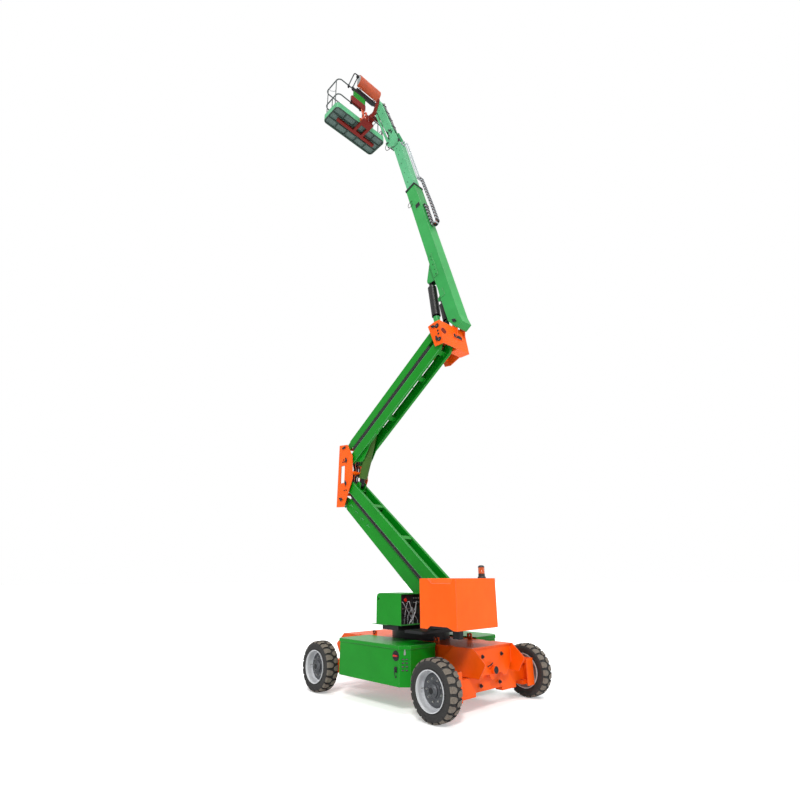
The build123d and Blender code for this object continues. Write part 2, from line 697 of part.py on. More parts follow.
def upper_knuckle():
    """Plates round the head of the risers and the foot of the boom."""
    (x, z), (bx, bz) = p_top, p_boom
    rear_low, rear_high = (x - 149, z - 130), (x - 63, z + 356)
    side = [(x + 217, z + 323), (x + 55, z + 359), rear_high, rear_low, (x + 56, z - 130)]
    body = None
    for y0, y1 in (near_plate, far_plate):
        plate = slab_y(side, y0, y1)
        body = plate if body is None else body + plate
    # sloping rear plate across the whole knuckle
    rear = slab_y([rear_low, (rear_low[0] + 14, rear_low[1]), (rear_high[0] + 14, rear_high[1]), rear_high],
                  boom_y - 152, near_plate[1])
    hole_z = z + 150
    rear -= rod_x(300, hole_z, 90, x - 250, x + 50)
    rear -= block(x - 250, x + 50, -199, 15, hole_z - 15, hole_z + 41)
    body += rear
    # far side plate with the cylinder feet
    far = [(x - 149, z - 130), (x + 37, z - 100), (x + 308, z - 212), (x + 444, z - 192),
           (x + 480, z - 100), (x + 430, z + 20), (x + 180, z + 260), (x - 63, z + 356)]
    body += slab_y(far, boom_y - 152, boom_y - 138)
    inner = [(x - 140, z - 120), (x + 37, z - 120), (x + 308, z - 190), (x + 444, z - 192),
             (x + 470, z - 110), (x + 430, z - 20), (x + 200, z + 120), (x - 100, z + 200)]
    body += slab_y(inner, far_plate[0] - 16, far_plate[0] + 2)
    # ears of the boom pivot
    ear = [(x - 143, z - 128), (x + 60, z - 128), (x + 60, z + 150), (bx + 55, bz - 20),
           (bx + 50, bz + 30), (bx + 20, bz + 54), (bx - 20, bz + 54), (bx - 50, bz + 30),
           (bx - 55, bz - 60), (x - 100, z + 150)]
    for y0, y1 in ((boom_y - 118, boom_y - 98), (boom_y + 98, boom_y + 118)):
        body += slab_y(ear, y0, y1) - rod_y(bx, bz, 70 + 2 * hole_gap, y0 - 5, y1 + 5)
    body += block(x - 140, x + 60, boom_y - 150, far_plate[0], z - 130, z - 118)
    for (px, pz), dia in ((p_lift_foot, 60), (p_level_foot, 45)):
        body += rod_y(px, pz, dia, boom_y - 160, far_plate[0])
    body += rod_y(x, z, riser_pin_dia, near_beam[0] - 6, near_plate[1] + 12)
    body += rod_y(x, z, riser_pin_dia, far_plate[0] - 12, far_beam[1] + 6)
    lx, lz = p_high_link_head
    body += rod_y(lx, lz, riser_pin_dia, far_plate[0] - 12, near_plate[1] + 12)
    return body


nodes["lower_riser"] = member(p_foot, riser_angle_low) * lower_riser()
nodes["lower_link"] = (member(p_low_link_foot, riser_angle_low)
                       * link_box(riser_length, low_link_depth / 2, low_link_depth / 2, 150))
nodes["mid_knuckle"] = mid_knuckle()
nodes["upper_riser"] = member(p_mid_high, 180 - riser_angle_high) * upper_riser()
nodes["upper_link"] = (member(p_high_link_foot, 180 - riser_angle_high)
                       * link_box(riser_length, high_link_depth / 2 - 5, high_link_depth / 2 + 5, 120))
nodes["upper_knuckle"] = upper_knuckle()


# ---------------------------------------------------------------- cylinders
def barrel(y, dia, bore, length, foot_dia, foot_width, pin_dia, collar=None):
    """Barrel along +X from its foot pin, bored for the rod."""
    body = rod_x(y, 0, dia, foot_dia * 0.35, length)
    body += rod_y(0, 0, foot_dia, y - foot_width / 2, y + foot_width / 2)
    body += rod_x(y, 0, dia + 6, length - 40, length)
    if collar:
        body += rod_x(y, 0, dia + 20, collar, collar + 60)
    body -= rod_x(y, 0, bore + 2 * hole_gap, foot_dia * 0.5 + 15, length + 1)
    body -= rod_y(0, 0, pin_dia + 2 * hole_gap, y - foot_width, y + foot_width)
    return body


def rod(y, dia, start, end, eye_dia, eye_width, pin_dia, pin_width):
    """Rod along +X ending in an eye with its own short pin."""
    body = rod_x(y, 0, dia, start, end - eye_dia * 0.35)
    body += rod_y(end, 0, eye_dia, y - eye_width / 2, y + eye_width / 2)
    body += rod_y(end, 0, pin_dia, y - pin_width / 2, y + pin_width / 2)
    return body


riser_cyl_angle, riser_cyl_length = heading(p_riser_barrel, p_riser_rod)
lift_cyl_angle, lift_cyl_length = heading(p_lift_foot, p_lift_eye)
level_cyl_angle, level_cyl_length = heading(p_level_foot, p_level_eye)
jib_cyl_angle, jib_cyl_length = heading(p_jib_barrel, p_jib_rod)

riser_rod = rod(riser_y, riser_rod_dia, riser_cyl_length - riser_rod_length, riser_cyl_length,
                100, 70, 50, 90)
guard_end = riser_cyl_length - riser_guard_gap
riser_guard = (rod_x(riser_y, 0, riser_guard_dia[0], guard_end - riser_guard_length, guard_end)
               + rod_x(riser_y, 0, riser_guard_dia[0] + 12, guard_end - 22, guard_end))
riser_guard -= rod_x(riser_y, 0, riser_guard_dia[1], guard_end - riser_guard_length - 1, guard_end - 12)
riser_guard -= rod_x(riser_y, 0, riser_rod_dia + 0.6, guard_end - 30, guard_end + 1)

place = member(p_riser_barrel, riser_cyl_angle)
nodes["riser_barrel"] = place * barrel(riser_y, riser_barrel_dia, riser_rod_dia, riser_barrel_length,
                                       110, 90, 60)
nodes["riser_rod"] = place * riser_rod
nodes["riser_rod_guard"] = place * riser_guard

place = member(p_lift_foot, lift_cyl_angle)
nodes["lift_barrel"] = place * barrel(boom_y, lift_barrel_dia, lift_rod_dia, lift_barrel_length,
                                      110, 90, 60, collar=430)
nodes["lift_rod"] = place * rod(boom_y, lift_rod_dia, lift_cyl_length - lift_rod_length, lift_cyl_length,
                                110, 80, 60, 100)
place = member(p_level_foot, level_cyl_angle)
nodes["level_barrel"] = place * barrel(boom_y, level_barrel_dia, level_rod_dia, level_barrel_length,
                                       80, 60, 45, collar=300)
nodes["level_rod"] = place * rod(boom_y, level_rod_dia, level_cyl_length - level_rod_length, level_cyl_length,
                                 70, 60, 40, 80)
place = member(p_jib_barrel, jib_cyl_angle)
nodes["jib_barrel"] = place * barrel(boom_y, jib_barrel_dia, jib_rod_dia, jib_barrel_length, 75, 60, 40)
nodes["jib_rod"] = place * rod(boom_y, jib_rod_dia, jib_cyl_length - jib_rod_length, jib_cyl_length,
                               70, 50, 36, 70)


# ---------------------------------------------------------------- boom
def eye_bracket(points, eye, pin_dia, half_gap, plate):
    """Two plates either side of a rod eye, with caps outside them."""
    body = None
    for s in (1, -1):
        p = slab_y(points, boom_y + s * half_gap, boom_y + s * (half_gap + plate))
        p += rod_y(*eye, pin_dia, boom_y + s * (half_gap + plate - 2), boom_y + s * (half_gap + plate + 8))
        body = p if body is None else body + p
    return body


def boom_outer():
    """Hollow outer boom, open under its foot for the pivot ears."""
    w, d, t = boom_width / 2, boom_depth / 2, boom_wall
    side = [(87, -d), (boom_length, -d), (boom_length, d), (60, d), (-132, d + 24), (-184, 15),
            (-150, -20)]
    body = slab_y(side, boom_y - w, boom_y + w)
    hollow = [(-400, -d - 200), (230, -d - 200), (230, -d + t), (boom_length + 1, -d + t),
              (boom_length + 1, d - t), (60, d - t), (-124, d + 16), (-172, 15), (-400, -80)]
    body -= slab_y(hollow, boom_y - w + t, boom_y + w - t)
    body += rod_y(0, 0, 70, boom_y - w - 8, boom_y + w + 8)
    root = -d + 2
    body += eye_bracket([(1250, root), (1290, -330), (1310, -355), (1375, -355), (1400, -340), (1800, root)],
                        lift_eye, 80, 60, 14)
    ex, eh = level_eye
    body += eye_bracket([(ex - 67, root), (ex - 57, eh - 23), (ex - 37, eh - 36), (ex + 18, eh - 36),
                         (ex + 103, root)], level_eye, 60, 55, 12)
    # doubler plates on the near and far sides
    for s in (1, -1):
        y0, y1 = boom_y + s * (w - 1), boom_y + s * (w + 8)
        body += slab_y([(1250, -10), (1258, -d), (1810, -d), (1870, -20)], y0, y1)
        body += slab_y([(690, -10), (690, -d), (850, -d), (880, -30)], y0, y1)
    return body


def boom_collar():
    """Wear-pad collar round the mouth of the outer boom."""
    w, d = boom_width / 2, boom_depth / 2
    collar = tube_x(boom_length, boom_length + 26, boom_y, 0, 2 * w + 24, 2 * d + 24, 12)
    collar += tube_x(boom_length - 30, boom_length + 2, boom_y, 0, 2 * w + 24, 2 * d + 24, 11.5)
    collar -= tube_x(boom_length - 31, boom_length, boom_y, 0, 2 * w, 2 * d, boom_wall)
    collar += tube_x(boom_length, boom_length + 26, boom_y, 0, 2 * w + 2, 2 * d + 2, 17)
    # wear pads that run on the fly section
    fw, fd = fly_width / 2 + seat_gap, fly_depth / 2 + seat_gap
    for s in (1, -1):
        for u in (1, -1):
            collar += block(boom_length, boom_length + 26, boom_y + s * fw, boom_y + s * (w - 10),
                            u * fd - u * 60, u * fd - u * 10)
            collar += block(boom_length, boom_length + 26, boom_y + s * (fw - 60), boom_y + s * (fw - 10),
                            u * fd, u * (d - 10))
    return collar


def boom_fly():
    """Inner boom section with a fork at its nose for the tip bracket."""
    w, d = fly_width / 2, fly_depth / 2
    body = tube_x(fly_root, fly_end, boom_y, 0, fly_width, fly_depth, fly_wall)
    for s in (1, -1):
        cheek = slab_y([(fly_end - 120, -d + 10), (fly_end + 20, -60), (tip_pin_s + 25, -45),
                        (tip_pin_s + 55, 0), (tip_pin_s + 25, 45), (fly_end + 20, 60),
                        (fly_end - 120, d - 10)],
                       boom_y + s * (w - fly_wall - 14), boom_y + s * (w - fly_wall))
        body += cheek
    reach = w + running_gap + 22
    body += rod_y(tip_pin_s, 0, 60, boom_y - reach, boom_y + reach)
    # wear pads at the root, running inside the outer boom
    ow, od = boom_width / 2 - boom_wall - seat_gap, boom_depth / 2 - boom_wall - seat_gap
    for s in (1, -1):
        for u in (1, -1):
            s0, s1 = fly_root + 20, fly_root + 120
            body += block(s0, s1, boom_y + s * (w - 1), boom_y + s * ow, u * 20, u * 80)
            body += block(s0, s1, boom_y + u * 20, boom_y + u * 75, s * (d - 1), s * od)
    return body


def service_tubes():
    """Twin tubes behind the fly section, with a clamp at their lower ends."""
    d, high = fly_depth / 2, fly_depth / 2 + tube_height
    body = block(boom_length + 150, boom_length + 190, boom_y - 75, boom_y + 75, high - 20, high + 30)
    body += block(fly_end - 90, fly_end - 30, boom_y - 75, boom_y + 75, d, d + 12)
    for y in (boom_y - 45, boom_y + 45):
        body += bent_tube([(fly_end - 60, y, d + 2), (fly_end - 60, y, high), (boom_length + 180, y, high)],
                          tube_dia, 90)
    return body


def cable_carrier():
    """Energy chain with its return bend, behind the outer boom; the tubes slide inside it."""
    (s0, s1), (low, high), t = chain_run, chain_bend, chain_thickness
    y0, y1 = boom_y - chain_half_width, boom_y + chain_half_width
    mid, r = (low + high) / 2, (high - low) / 2
    bend = rod_y(s0, mid, 2 * r, y0, y1) - rod_y(s0, mid, 2 * (r - t), y0 - 5, y1 + 5)
    chain = bend & block(s0 - 2 * r, s0, y0, y1, low - 5, high + 5)
    chain += slab_y([(s0, high - t), (s0 + 500, high - t), (s1, high - t - 25), (s1, high - 25),
                     (s0 + 500, high), (s0, high)], y0, y1)
    chain += block(s0 - 1, s0 + 660, y0, y1, low, low + t)
    # foot that holds the fixed end on the boom
    chain += block(s0 + 560, s0 + 660, y0 - 10, y1 + 10, boom_depth / 2, low + 2)
    return chain


def boom_tip():
    """Levelled bracket at the boom head that carries the jib and its link."""
    (tx, tz), (jx, jz), (lx, lz) = p_tip, p_jib, p_jib_link_foot
    gx, gz = p_jib_barrel
    w = fly_width / 2 + running_gap
    outline = [(tx - 75, tz - 40), (tx + 20, tz - 85), (tx + 273, tz + 80), (tx + 270, tz + 150),
               (lx + 58, lz - 30), (lx + 58, lz + 40), (jx + 60, jz - 60), (jx + 75, jz + 10),
               (jx + 45, jz + 62), (jx - 20, jz + 75), (jx - 75, jz + 40), (jx - 110, jz - 60),
               (tx - 75, tz + 130)]
    body = None
    for s in (1, -1):
        plate = slab_y(outline, boom_y + s * w, boom_y + s * (w + 14))
        plate -= rod_y(tx, tz, 60 + 2 * hole_gap, boom_y - 150, boom_y + 150)
        body = plate if body is None else body + plate
    body += rod_y(jx, jz, 60, boom_y - w - 22, boom_y + w + 22)
    body += rod_y(gx, gz, 40, boom_y - w - 22, boom_y + w + 22)
    body += rod_y(lx, lz, 50, jib_link_y[0] - 3, boom_y + w + 22)
    body += rod_y(tx + 200, tz + 75, 50, boom_y - w - 5, boom_y + w + 5)
    return body


nodes["boom_outer"] = member(p_boom, boom_angle) * boom_outer()
nodes["boom_collar"] = member(p_boom, boom_angle) * boom_collar()
nodes["boom_fly"] = member(p_boom, boom_angle) * boom_fly()
nodes["service_tubes"] = member(p_boom, boom_angle) * service_tubes()
nodes["cable_carrier"] = member(p_boom, boom_angle) * cable_carrier()
nodes["boom_tip"] = boom_tip()


# ---------------------------------------------------------------- jib
def jib():
    """Channel open towards its link, with eyes at both pins."""
    w, t, c = jib_width / 2, jib_wall, jib_offset
    top, bottom = c + jib_depth / 2, c - jib_depth / 2
    side = [(-55, -25), (-55, 25), (-25, 55), (80, 55), (jib_length - 80, 55), (jib_length + 25, 55),
            (jib_length + 55, 25), (jib_length + 55, -25), (jib_length + 20, -60),
            (jib_length - 200, bottom), (270, bottom), (20, -60)]
    body = slab_y(side, boom_y - w, boom_y + w)
    body -= block(-400, 2400, boom_y - w + t, boom_y + w - t, -400, 55 - t)
    body -= block(-400, 75, boom_y - w + t + 2, boom_y + w - t - 2, 0, 100)
    body -= block(jib_length - 75, jib_length + 400, boom_y - w + t + 2, boom_y + w - t - 2, 0, 100)
    for s in (0, jib_length):
        body -= rod_y(s, 0, 60 + 2 * hole_gap, boom_y - 150, boom_y + 150)
    s, h = jib_rod_eye
    for sy in (1, -1):
        y0, y1 = boom_y + sy * 42, boom_y + sy * 54
        body += slab_y([(s - 60, h - 38), (s + 60, h - 38), (s + 130, 50), (s - 130, 50)], y0, y1)
    return body


def jib_link():
    """Slim bar parallel to the jib."""
    y0, y1 = jib_link_y
    bar = slab_y([(-45, -15), (-20, -38), (60, -30), (jib_length - 60, -30), (jib_length + 20, -38),
                  (jib_length + 45, -15), (jib_length + 45, 15), (jib_length + 20, 38), (jib_length - 60, 30),
                  (60, 30), (-20, 38), (-45, 15)], y0, y1)
    for s in (0, jib_length):
        bar -= rod_y(s, 0, 50 + 2 * hole_gap, y0 - 5, y1 + 5)
    return bar


def platform_bracket():
    """Levelled bracket at the jib head, holding the rotator housing."""
    (kx, kz), (lx, lz), (rx, ry) = p_jib_head, p_jib_link_head, rotator
    w = jib_width / 2 + running_gap
    outline = [(kx - 62, kz - 40), (kx - 62, kz + 30), (kx - 25, kz + 62), (kx + 30, kz + 62),
               (kx + 75, kz + 20), (lx + 100, lz + 150), (lx + 172, lz + 130), (lx + 172, lz - 20),
               (lx + 60, lz - 60), (lx - 45, lz - 45), (lx - 55, lz + 40)]
    body = None
    for s in (1, -1):
        plate = slab_y(outline, boom_y + s * w, boom_y + s * (w + 12))
        body = plate if body is None else body + plate
    body += rod_y(kx, kz, 60, boom_y - w - 20, boom_y + w + 20)
    body += rod_y(lx, lz, 50, jib_link_y[0] - 3, boom_y + w + 20)
    body += block(lx + 152, lx + 172, boom_y - w - 5, boom_y + w + 5, lz - 10, lz + 125)
    body += block(lx + 165, rx, ry - 70, ry + 70, lz - 20, lz + 130)
    body += rod_z(rx, ry, rotator_dia, lz - 30, lz + 140)
    body -= rod_z(rx, ry, 90 + 2 * hole_gap, lz - 100, lz + 300)
    return body


nodes["jib"] = member(p_jib, jib_angle) * jib()
nodes["jib_link"] = member(p_jib_link_foot, jib_angle) * jib_link()
nodes["platform_bracket"] = platform_bracket()


# ---------------------------------------------------------------- platform
def platform_support():
    """Spindle, two arms and the cross channel under the floor."""
    (rx, ry), z = rotator, p_jib_link_head[1]
    body = rod_z(rx, ry, 90, z - 60, z + 160)
    body += rod_z(rx, ry, 150, z + 147, z + 165)
    body += rod_z(rx, ry, 170, z - 60, z - 36)
    low = floor_z - 60
    body += rod_z(rx, ry, 170, low, z - 50)
    arms = block(rx - 85, floor_x0 + 300, ry - 90, ry + 250, low, floor_z)
    arms -= block(rx + 105, floor_x0 + 250, ry - 20, ry + 180, low - 5, floor_z + 5)
    body += arms + block(floor_x0 + 270, floor_x0 + 350, -660, 620, low, floor_z)
    return body


def platform_floor():
    """Toe board all round the floor, with rounded corners, open at the gate."""
    (x0, x1), (y0, y1) = floor_x, floor_y
    cx, cy = (x0 + x1) / 2, (y0 + y1) / 2
    w, d, r, t = x1 - x0, y1 - y0, floor_corner, toe_wall
    tray = extrude(Pos(cx, cy, floor_z) * RectangleRounded(w, d, r), toe_height)
    tray -= extrude(Pos(cx, cy, floor_z - 1) * RectangleRounded(w - 2 * t, d - 2 * t, r - t), toe_height + 5)
    gate = block(cx - 210, cx + 210, y0 - 20, y0 + 20, floor_top + 4, floor_z + toe_height + 5)
    return tray - gate


def platform_deck():
    """Ribbed frame with the deck plate on it, set inside the toe board."""
    (x0, x1), (y0, y1) = floor_x, floor_y
    cx, cy = (x0 + x1) / 2, (y0 + y1) / 2
    g = toe_wall + seat_gap
    w, d, r = x1 - x0 - 2 * g, y1 - y0 - 2 * g, floor_corner - g
    top = floor_top - floor_z
    body = extrude(Pos(cx, cy, floor_z) * RectangleRounded(w, d, r), top)
    # pockets between the edge frame and the ribs, open below
    cols, rows, edge, rib = 5, 3, 38, 22
    px, py = (w - 2 * edge - (rows - 1) * rib) / rows, (d - 2 * edge - (cols - 1) * rib) / cols
    pocket = extrude(Pos(0, 0, floor_z - 1) * RectangleRounded(px, py, 20), top - deck_plate + 1)
    for i in range(rows):
        for k in range(cols):
            x = cx - w / 2 + edge + px / 2 + i * (px + rib)
            y = cy - d / 2 + edge + py / 2 + k * (py + rib)
            body -= Pos(x, y, 0) * pocket
    # raised tread panel, clear of the posts
    panel = RectangleRounded(w - 120, d - 120, 60)
    return body + extrude(Pos(cx, cy, floor_top - 1) * panel, 1 + tread_panel)


def platform_rails():
    """Guard rails: two hoops round the floor, open at the gate on the right end, and posts."""
    (x0, x1), (y0, y1) = floor_x, floor_y
    r = rail_dia / 2
    r += rail_inset
    a, b, c, d = x0 + r, x1 - r, y0 + r, y1 - r
    body = None
    gx0, gx1 = (x0 + x1) / 2 - gate_half_width - 10, (x0 + x1) / 2 + gate_half_width + 10
    for h in rail_heights:
        z = floor_z + h
        hoop = bent_tube([(gx0 - 30, c, z), (a, c, z), (a, d, z), (b, d, z), (b, c, z), (gx1 + 30, c, z)],
                         rail_dia, [45, rail_corner, rail_corner, 45])
        body = hoop if body is None else body + hoop
    posts = [(a, -600), (a, -20), (b, -600), (b, 0), (b, 600), (a + rail_corner, d), (b - rail_corner, d)]
    top = floor_z + rail_heights[-1]
    for x, y in posts:
        body += rod_z(x, y, rail_dia - 8, floor_top, top)
    for x in (gx0 - 30, gx1 + 30):
        body += rod_z(x, c, rail_dia, floor_top, top)
    # guard loop beside the operator's box
    y0, y1 = cover_y[1] + 75, cover_y[1] + 205
    loop = [(a, y1, top), (a - 255, y1, top + 240), (a - 255, y0, top + 240), (a, y0, top)]
    body += bent_tube(loop, 26, 50)
    return body


def platform_gate():
    """Swing gate on the right end of the platform."""
    (x0, x1), y0 = floor_x, floor_y[0]
    r = rail_dia / 2
    y = y0 + r + rail_inset
    g0, g1 = (x0 + x1) / 2 - gate_half_width, (x0 + x1) / 2 + gate_half_width
    z0, z1 = floor_z + 60, floor_z + rail_heights[-1] - 20
    body = bent_tube([(g0, y, z0), (g0, y, z1), (g1, y, z1), (g1, y, z0)], 30, 50)
    body += rod_x(y, floor_z + rail_heights[0], 26, g0, g1)
    body += block(g0, g1, y - 3, y + 3, z0, floor_z + toe_height)
    # hinge sleeves round the post on the low X side, and a latch tongue
    for z in (floor_z + 300, floor_z + 850):
        body += rod_z(g0 - 40, y, rail_dia + 16, z - 30, z + 30)
        body += block(g0 - 30, g0, y - 6, y + 6, z - 25, z + 25)
        body -= rod_z(g0 - 40, y, rail_dia + 2 * seat_gap, z - 40, z + 40)
    z = floor_z + 850
    body += block(g1, g1 + 40 - r - seat_gap, y - 8, y + 8, z - 20, z + 20)
    return body


def console():
    """Operator's box on the rear rail, its document box below, and the bearings of the cover."""
    x, (y0, y1), (hx, hz) = floor_x[0], cover_y, cover_hinge
    a, r = x + rail_inset + rail_dia / 2, rail_dia / 2
    y0, y1 = y0 + 20, y1 - 20
    body = block(hx + 22, a - r - 4, y0, y1, rail_top - 70, rail_top + 6)
    body += block(hx + 22, a + 60, y0, y1, rail_top + 5, rail_top + 15)
    body += block(x - 55, x - 10, -50, 425, floor_z + 500, floor_z + 700)
    body += block(x - 45, x - 20, 0, 60, floor_z + 695, rail_top - 65)
    for yc in (y0 + 90, y1 - 90):
        for y in (yc - 30, yc + 30):
            body += block(hx - 9, hx + 9, y - 6, y + 6, hz - 32, hz + 9)
            body += block(hx - 9, hx + 24, y - 6, y + 6, hz - 32, hz - 14)
        body += rod_y(hx, hz, 12, yc - 32, yc + 32)
    # clamps round the two rails
    low_rail, high_rail = rail_heights
    for y, h in ((y0 + 60, high_rail), (y1 - 60, high_rail), (60, low_rail), (380, low_rail)):
        z = floor_z + h
        clamp = block(x - 20, a + 27, y - 24, y + 24, z - 27, z + 27)
        body += clamp - rod_y(a, z, rail_dia + 2 * seat_gap, y - 30, y + 30)
    return body


def console_cover():
    """Half-round cover of the operator's box, swung back behind the rail."""
    (hx, hz), (y0, y1), r = cover_hinge, cover_y, cover_dia / 2
    x, z = hx + 6, hz + r + 10
    shell = rod_y(x, z, 2 * r, y0, y1) - rod_y(x, z, 2 * r - 8, y0 + 4, y1 - 4)
    shell -= block(x, x + 400, y0 - 5, y1 + 5, z - 400, z + 400)
    for yc in (y0 + 110, y1 - 110):
        for y in (yc - 30, yc + 30):
            shell -= block(hx - 22, hx + 22, y - 9, y + 9, hz - 20, hz + 32)
        shell += rod_y(hx, hz, 20, yc - 18, yc + 18) + block(hx - 6, hx + 6, yc - 18, yc + 18, hz, hz + 13)
        shell -= rod_y(hx, hz, 12 + 2 * hole_gap, yc - 20, yc + 20)
    return shell


nodes["platform_support"] = platform_support()
nodes["platform_floor"] = platform_floor()
nodes["platform_deck"] = platform_deck()
nodes["platform_rails"] = platform_rails()
nodes["platform_gate"] = platform_gate()
nodes["console"] = console()
nodes["console_cover"] = console_cover()


# ---------------------------------------------------------------- export
lows = [n.bounding_box().min for n in nodes.values()]
highs = [n.bounding_box().max for n in nodes.values()]
shift = (-(min(v.X for v in lows) + max(v.X for v in highs)) / 2,
         -(min(v.Y for v in lows) + max(v.Y for v in highs)) / 2,
         -min(v.Z for v in lows))

os.makedirs("parts", exist_ok=True)
for name, shape in nodes.items():
    export_step(Pos(*shift) * shape, f"parts/{name}.step")
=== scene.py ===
import bpy
import bmesh
import json
import math
import random
from mathutils import Matrix, Vector


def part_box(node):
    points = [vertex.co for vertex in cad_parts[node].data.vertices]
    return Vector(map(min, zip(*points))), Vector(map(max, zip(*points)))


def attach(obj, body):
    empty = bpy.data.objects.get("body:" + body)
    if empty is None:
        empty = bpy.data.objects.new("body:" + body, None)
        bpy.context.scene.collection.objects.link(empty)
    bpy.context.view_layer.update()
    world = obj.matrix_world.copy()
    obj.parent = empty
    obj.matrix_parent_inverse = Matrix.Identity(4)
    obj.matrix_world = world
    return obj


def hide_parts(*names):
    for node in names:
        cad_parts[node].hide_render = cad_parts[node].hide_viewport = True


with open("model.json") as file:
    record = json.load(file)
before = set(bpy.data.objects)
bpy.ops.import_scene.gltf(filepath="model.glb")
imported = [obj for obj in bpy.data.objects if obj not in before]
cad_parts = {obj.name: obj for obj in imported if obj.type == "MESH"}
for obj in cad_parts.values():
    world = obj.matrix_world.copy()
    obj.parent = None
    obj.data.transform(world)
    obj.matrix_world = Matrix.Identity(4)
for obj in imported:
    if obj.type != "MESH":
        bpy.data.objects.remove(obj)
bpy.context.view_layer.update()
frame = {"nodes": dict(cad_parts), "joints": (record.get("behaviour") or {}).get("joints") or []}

# --- frame of reference
JOINTS = {j["name"]: j for j in frame["joints"]}
MM = 0.001


def pin(name):
    return Vector(JOINTS[name]["pos_m"])


def member(start, end):
    """Matrix with +X along a member, +Y across the machine and +Z square to both."""
    d = Vector((end.x - start.x, 0, end.z - start.z)).normalized()
    return Matrix(((d.x, 0, -d.z, start.x), (0, 1, 0, slew.y), (d.z, 0, d.x, start.z), (0, 0, 0, 1)))


slew = pin("slew")
CHASSIS = Matrix.Translation((slew.x, slew.y, 0))
LOWER = member(pin("riser_lift"), pin("mid_knuckle_pin"))
UPPER = member(pin("upper_riser_pin"), pin("upper_knuckle_pin"))
LOW_LINK = member(pin("lower_link_foot"), pin("lower_link_foot") + pin("mid_knuckle_pin") - pin("riser_lift"))
BOOM = member(pin("boom_lift"), pin("boom_lift") + Vector(JOINTS["telescope"]["axis"]))
JIB = member(pin("jib_lift"), pin("basket_bracket_pin"))
LIFT = member(pin("lift_barrel_pin"), pin("lift_rod_slide"))
LEVEL = member(pin("level_barrel_pin"), pin("level_rod_slide"))
RISER_Y = (pin("riser_lift").y - slew.y) / MM
BOOM_Y = (pin("boom_lift").y - slew.y) / MM


def node_box(name):
    """A node's box in millimetres in the chassis frame."""
    lo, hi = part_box(name)
    inv = CHASSIS.inverted()
    return [v / MM for v in inv @ lo], [v / MM for v in inv @ hi]


# --- materials
def srgb(r, g, b):
    """A linear colour from the three numbers of a screen colour."""
    def lin(c):
        c /= 255
        return c / 12.92 if c <= 0.04045 else ((c + 0.055) / 1.055) ** 2.4
    return (lin(r), lin(g), lin(b), 1.0)


def shade(colour, factor, lift=0.0):
    """A linear colour made darker or paler."""
    return tuple(min(1, c * factor + lift) for c in colour[:3]) + (1,)


class Shader:
    """Node tree of a material or of the world, and the few kinds of node that this scene uses."""

    def __init__(self, owner):
        owner.use_nodes = True
        self.nodes, self.links = owner.node_tree.nodes, owner.node_tree.links
        self.bsdf = self.nodes.get("Principled BSDF")

    def feed(self, node, values):
        """Gives a node's inputs, by name or number, a value or a link from a socket."""
        for key, value in values.items():
            if isinstance(value, bpy.types.NodeSocket):
                self.links.new(value, node.inputs[key])
            else:
                node.inputs[key].default_value = value

    def add(self, kind, values=None):
        node = self.nodes.new("ShaderNode" + kind)
        self.feed(node, values or {})
        return node

    def place(self):
        return self.add("TexCoord").outputs["Object"]

    def noise(self, scale, detail, rough=0.6):
        values = {"Vector": self.place(), "Scale": scale, "Detail": detail, "Roughness": rough}
        return self.add("TexNoise", values).outputs["Fac"]

    def ramp(self, source, lo, hi, a=0.0, b=1.0):
        values = {"Value": source, "From Min": lo, "From Max": hi, "To Min": a, "To Max": b}
        return self.add("MapRange", values).outputs["Result"]

    def combine(self, operation, a, b):
        node = self.add("Math", {0: a, 1: b})
        node.operation = operation
        return node.outputs[0]

    def mix(self, factor, a, b):
        """A blend of two colours. Inputs 6 and 7 and output 2 are the colour ones."""
        node = self.add("Mix")
        node.data_type = "RGBA"
        self.feed(node, {0: factor, 6: a, 7: b})
        return node.outputs[2]

    def roughen(self, height, strength, distance, under=None):
        """Bumps the surface, on top of another normal if there is one."""
        node = self.add("Bump", {"Height": height, "Strength": strength, "Distance": distance})
        if under:
            self.feed(node, {"Normal": under})
        self.feed(self.bsdf, {"Normal": node.outputs["Normal"]})


def new_material(name):
    m = bpy.data.materials.new(name)
    return m, Shader(m)


def paint(name, colour, rough=0.34, dirt=0.25, edge=0.35, coat=0.05, dust=(0.35, 0.3, 0.24, 1)):
    """Sprayed machine paint: slight colour drift, dust in patches, paler edges that are partly worn paint and
    partly painted highlight, and orange peel.
    """
    m, sh = new_material(name)
    drift, fine = sh.noise(2.2, 5), sh.noise(38, 6, 0.7)
    base = sh.mix(sh.ramp(drift, 0.32, 0.68), shade(colour, 0.9), shade(colour, 1.08, 0.002))
    smear = sh.combine("MULTIPLY", sh.ramp(drift, 0.45, 0.75), sh.ramp(fine, 0.45, 0.8, 0, dirt))
    base = sh.mix(smear, base, dust)
    bevel = sh.add("Bevel", {"Radius": 0.009})
    bevel.samples = 3
    flat = sh.add("NewGeometry").outputs["Normal"]
    dot = sh.add("VectorMath", {0: bevel.outputs["Normal"], 1: flat})
    dot.operation = "DOT_PRODUCT"
    # paler colour on the edges found by the bevel: partly paint worn off, partly a painted highlight where
    # edges catch the light
    edge_wear_and_highlight = sh.combine("MULTIPLY", sh.ramp(dot.outputs["Value"], 0.995, 0.9, 0, edge),
                      sh.ramp(fine, 0.3, 0.6, 0.35, 1))
    sh.feed(sh.bsdf, {"Base Color": sh.mix(edge_wear_and_highlight, base, shade(colour, 0.7, 0.3)),
                      "Roughness": sh.ramp(fine, 0.3, 0.7, rough - 0.07, rough + 0.12),
                      "Specular IOR Level": 0.16, "Coat Weight": coat, "Coat Roughness": 0.18})
    sh.roughen(sh.noise(420, 2), 0.035, 0.001, bevel.outputs["Normal"])
    return m


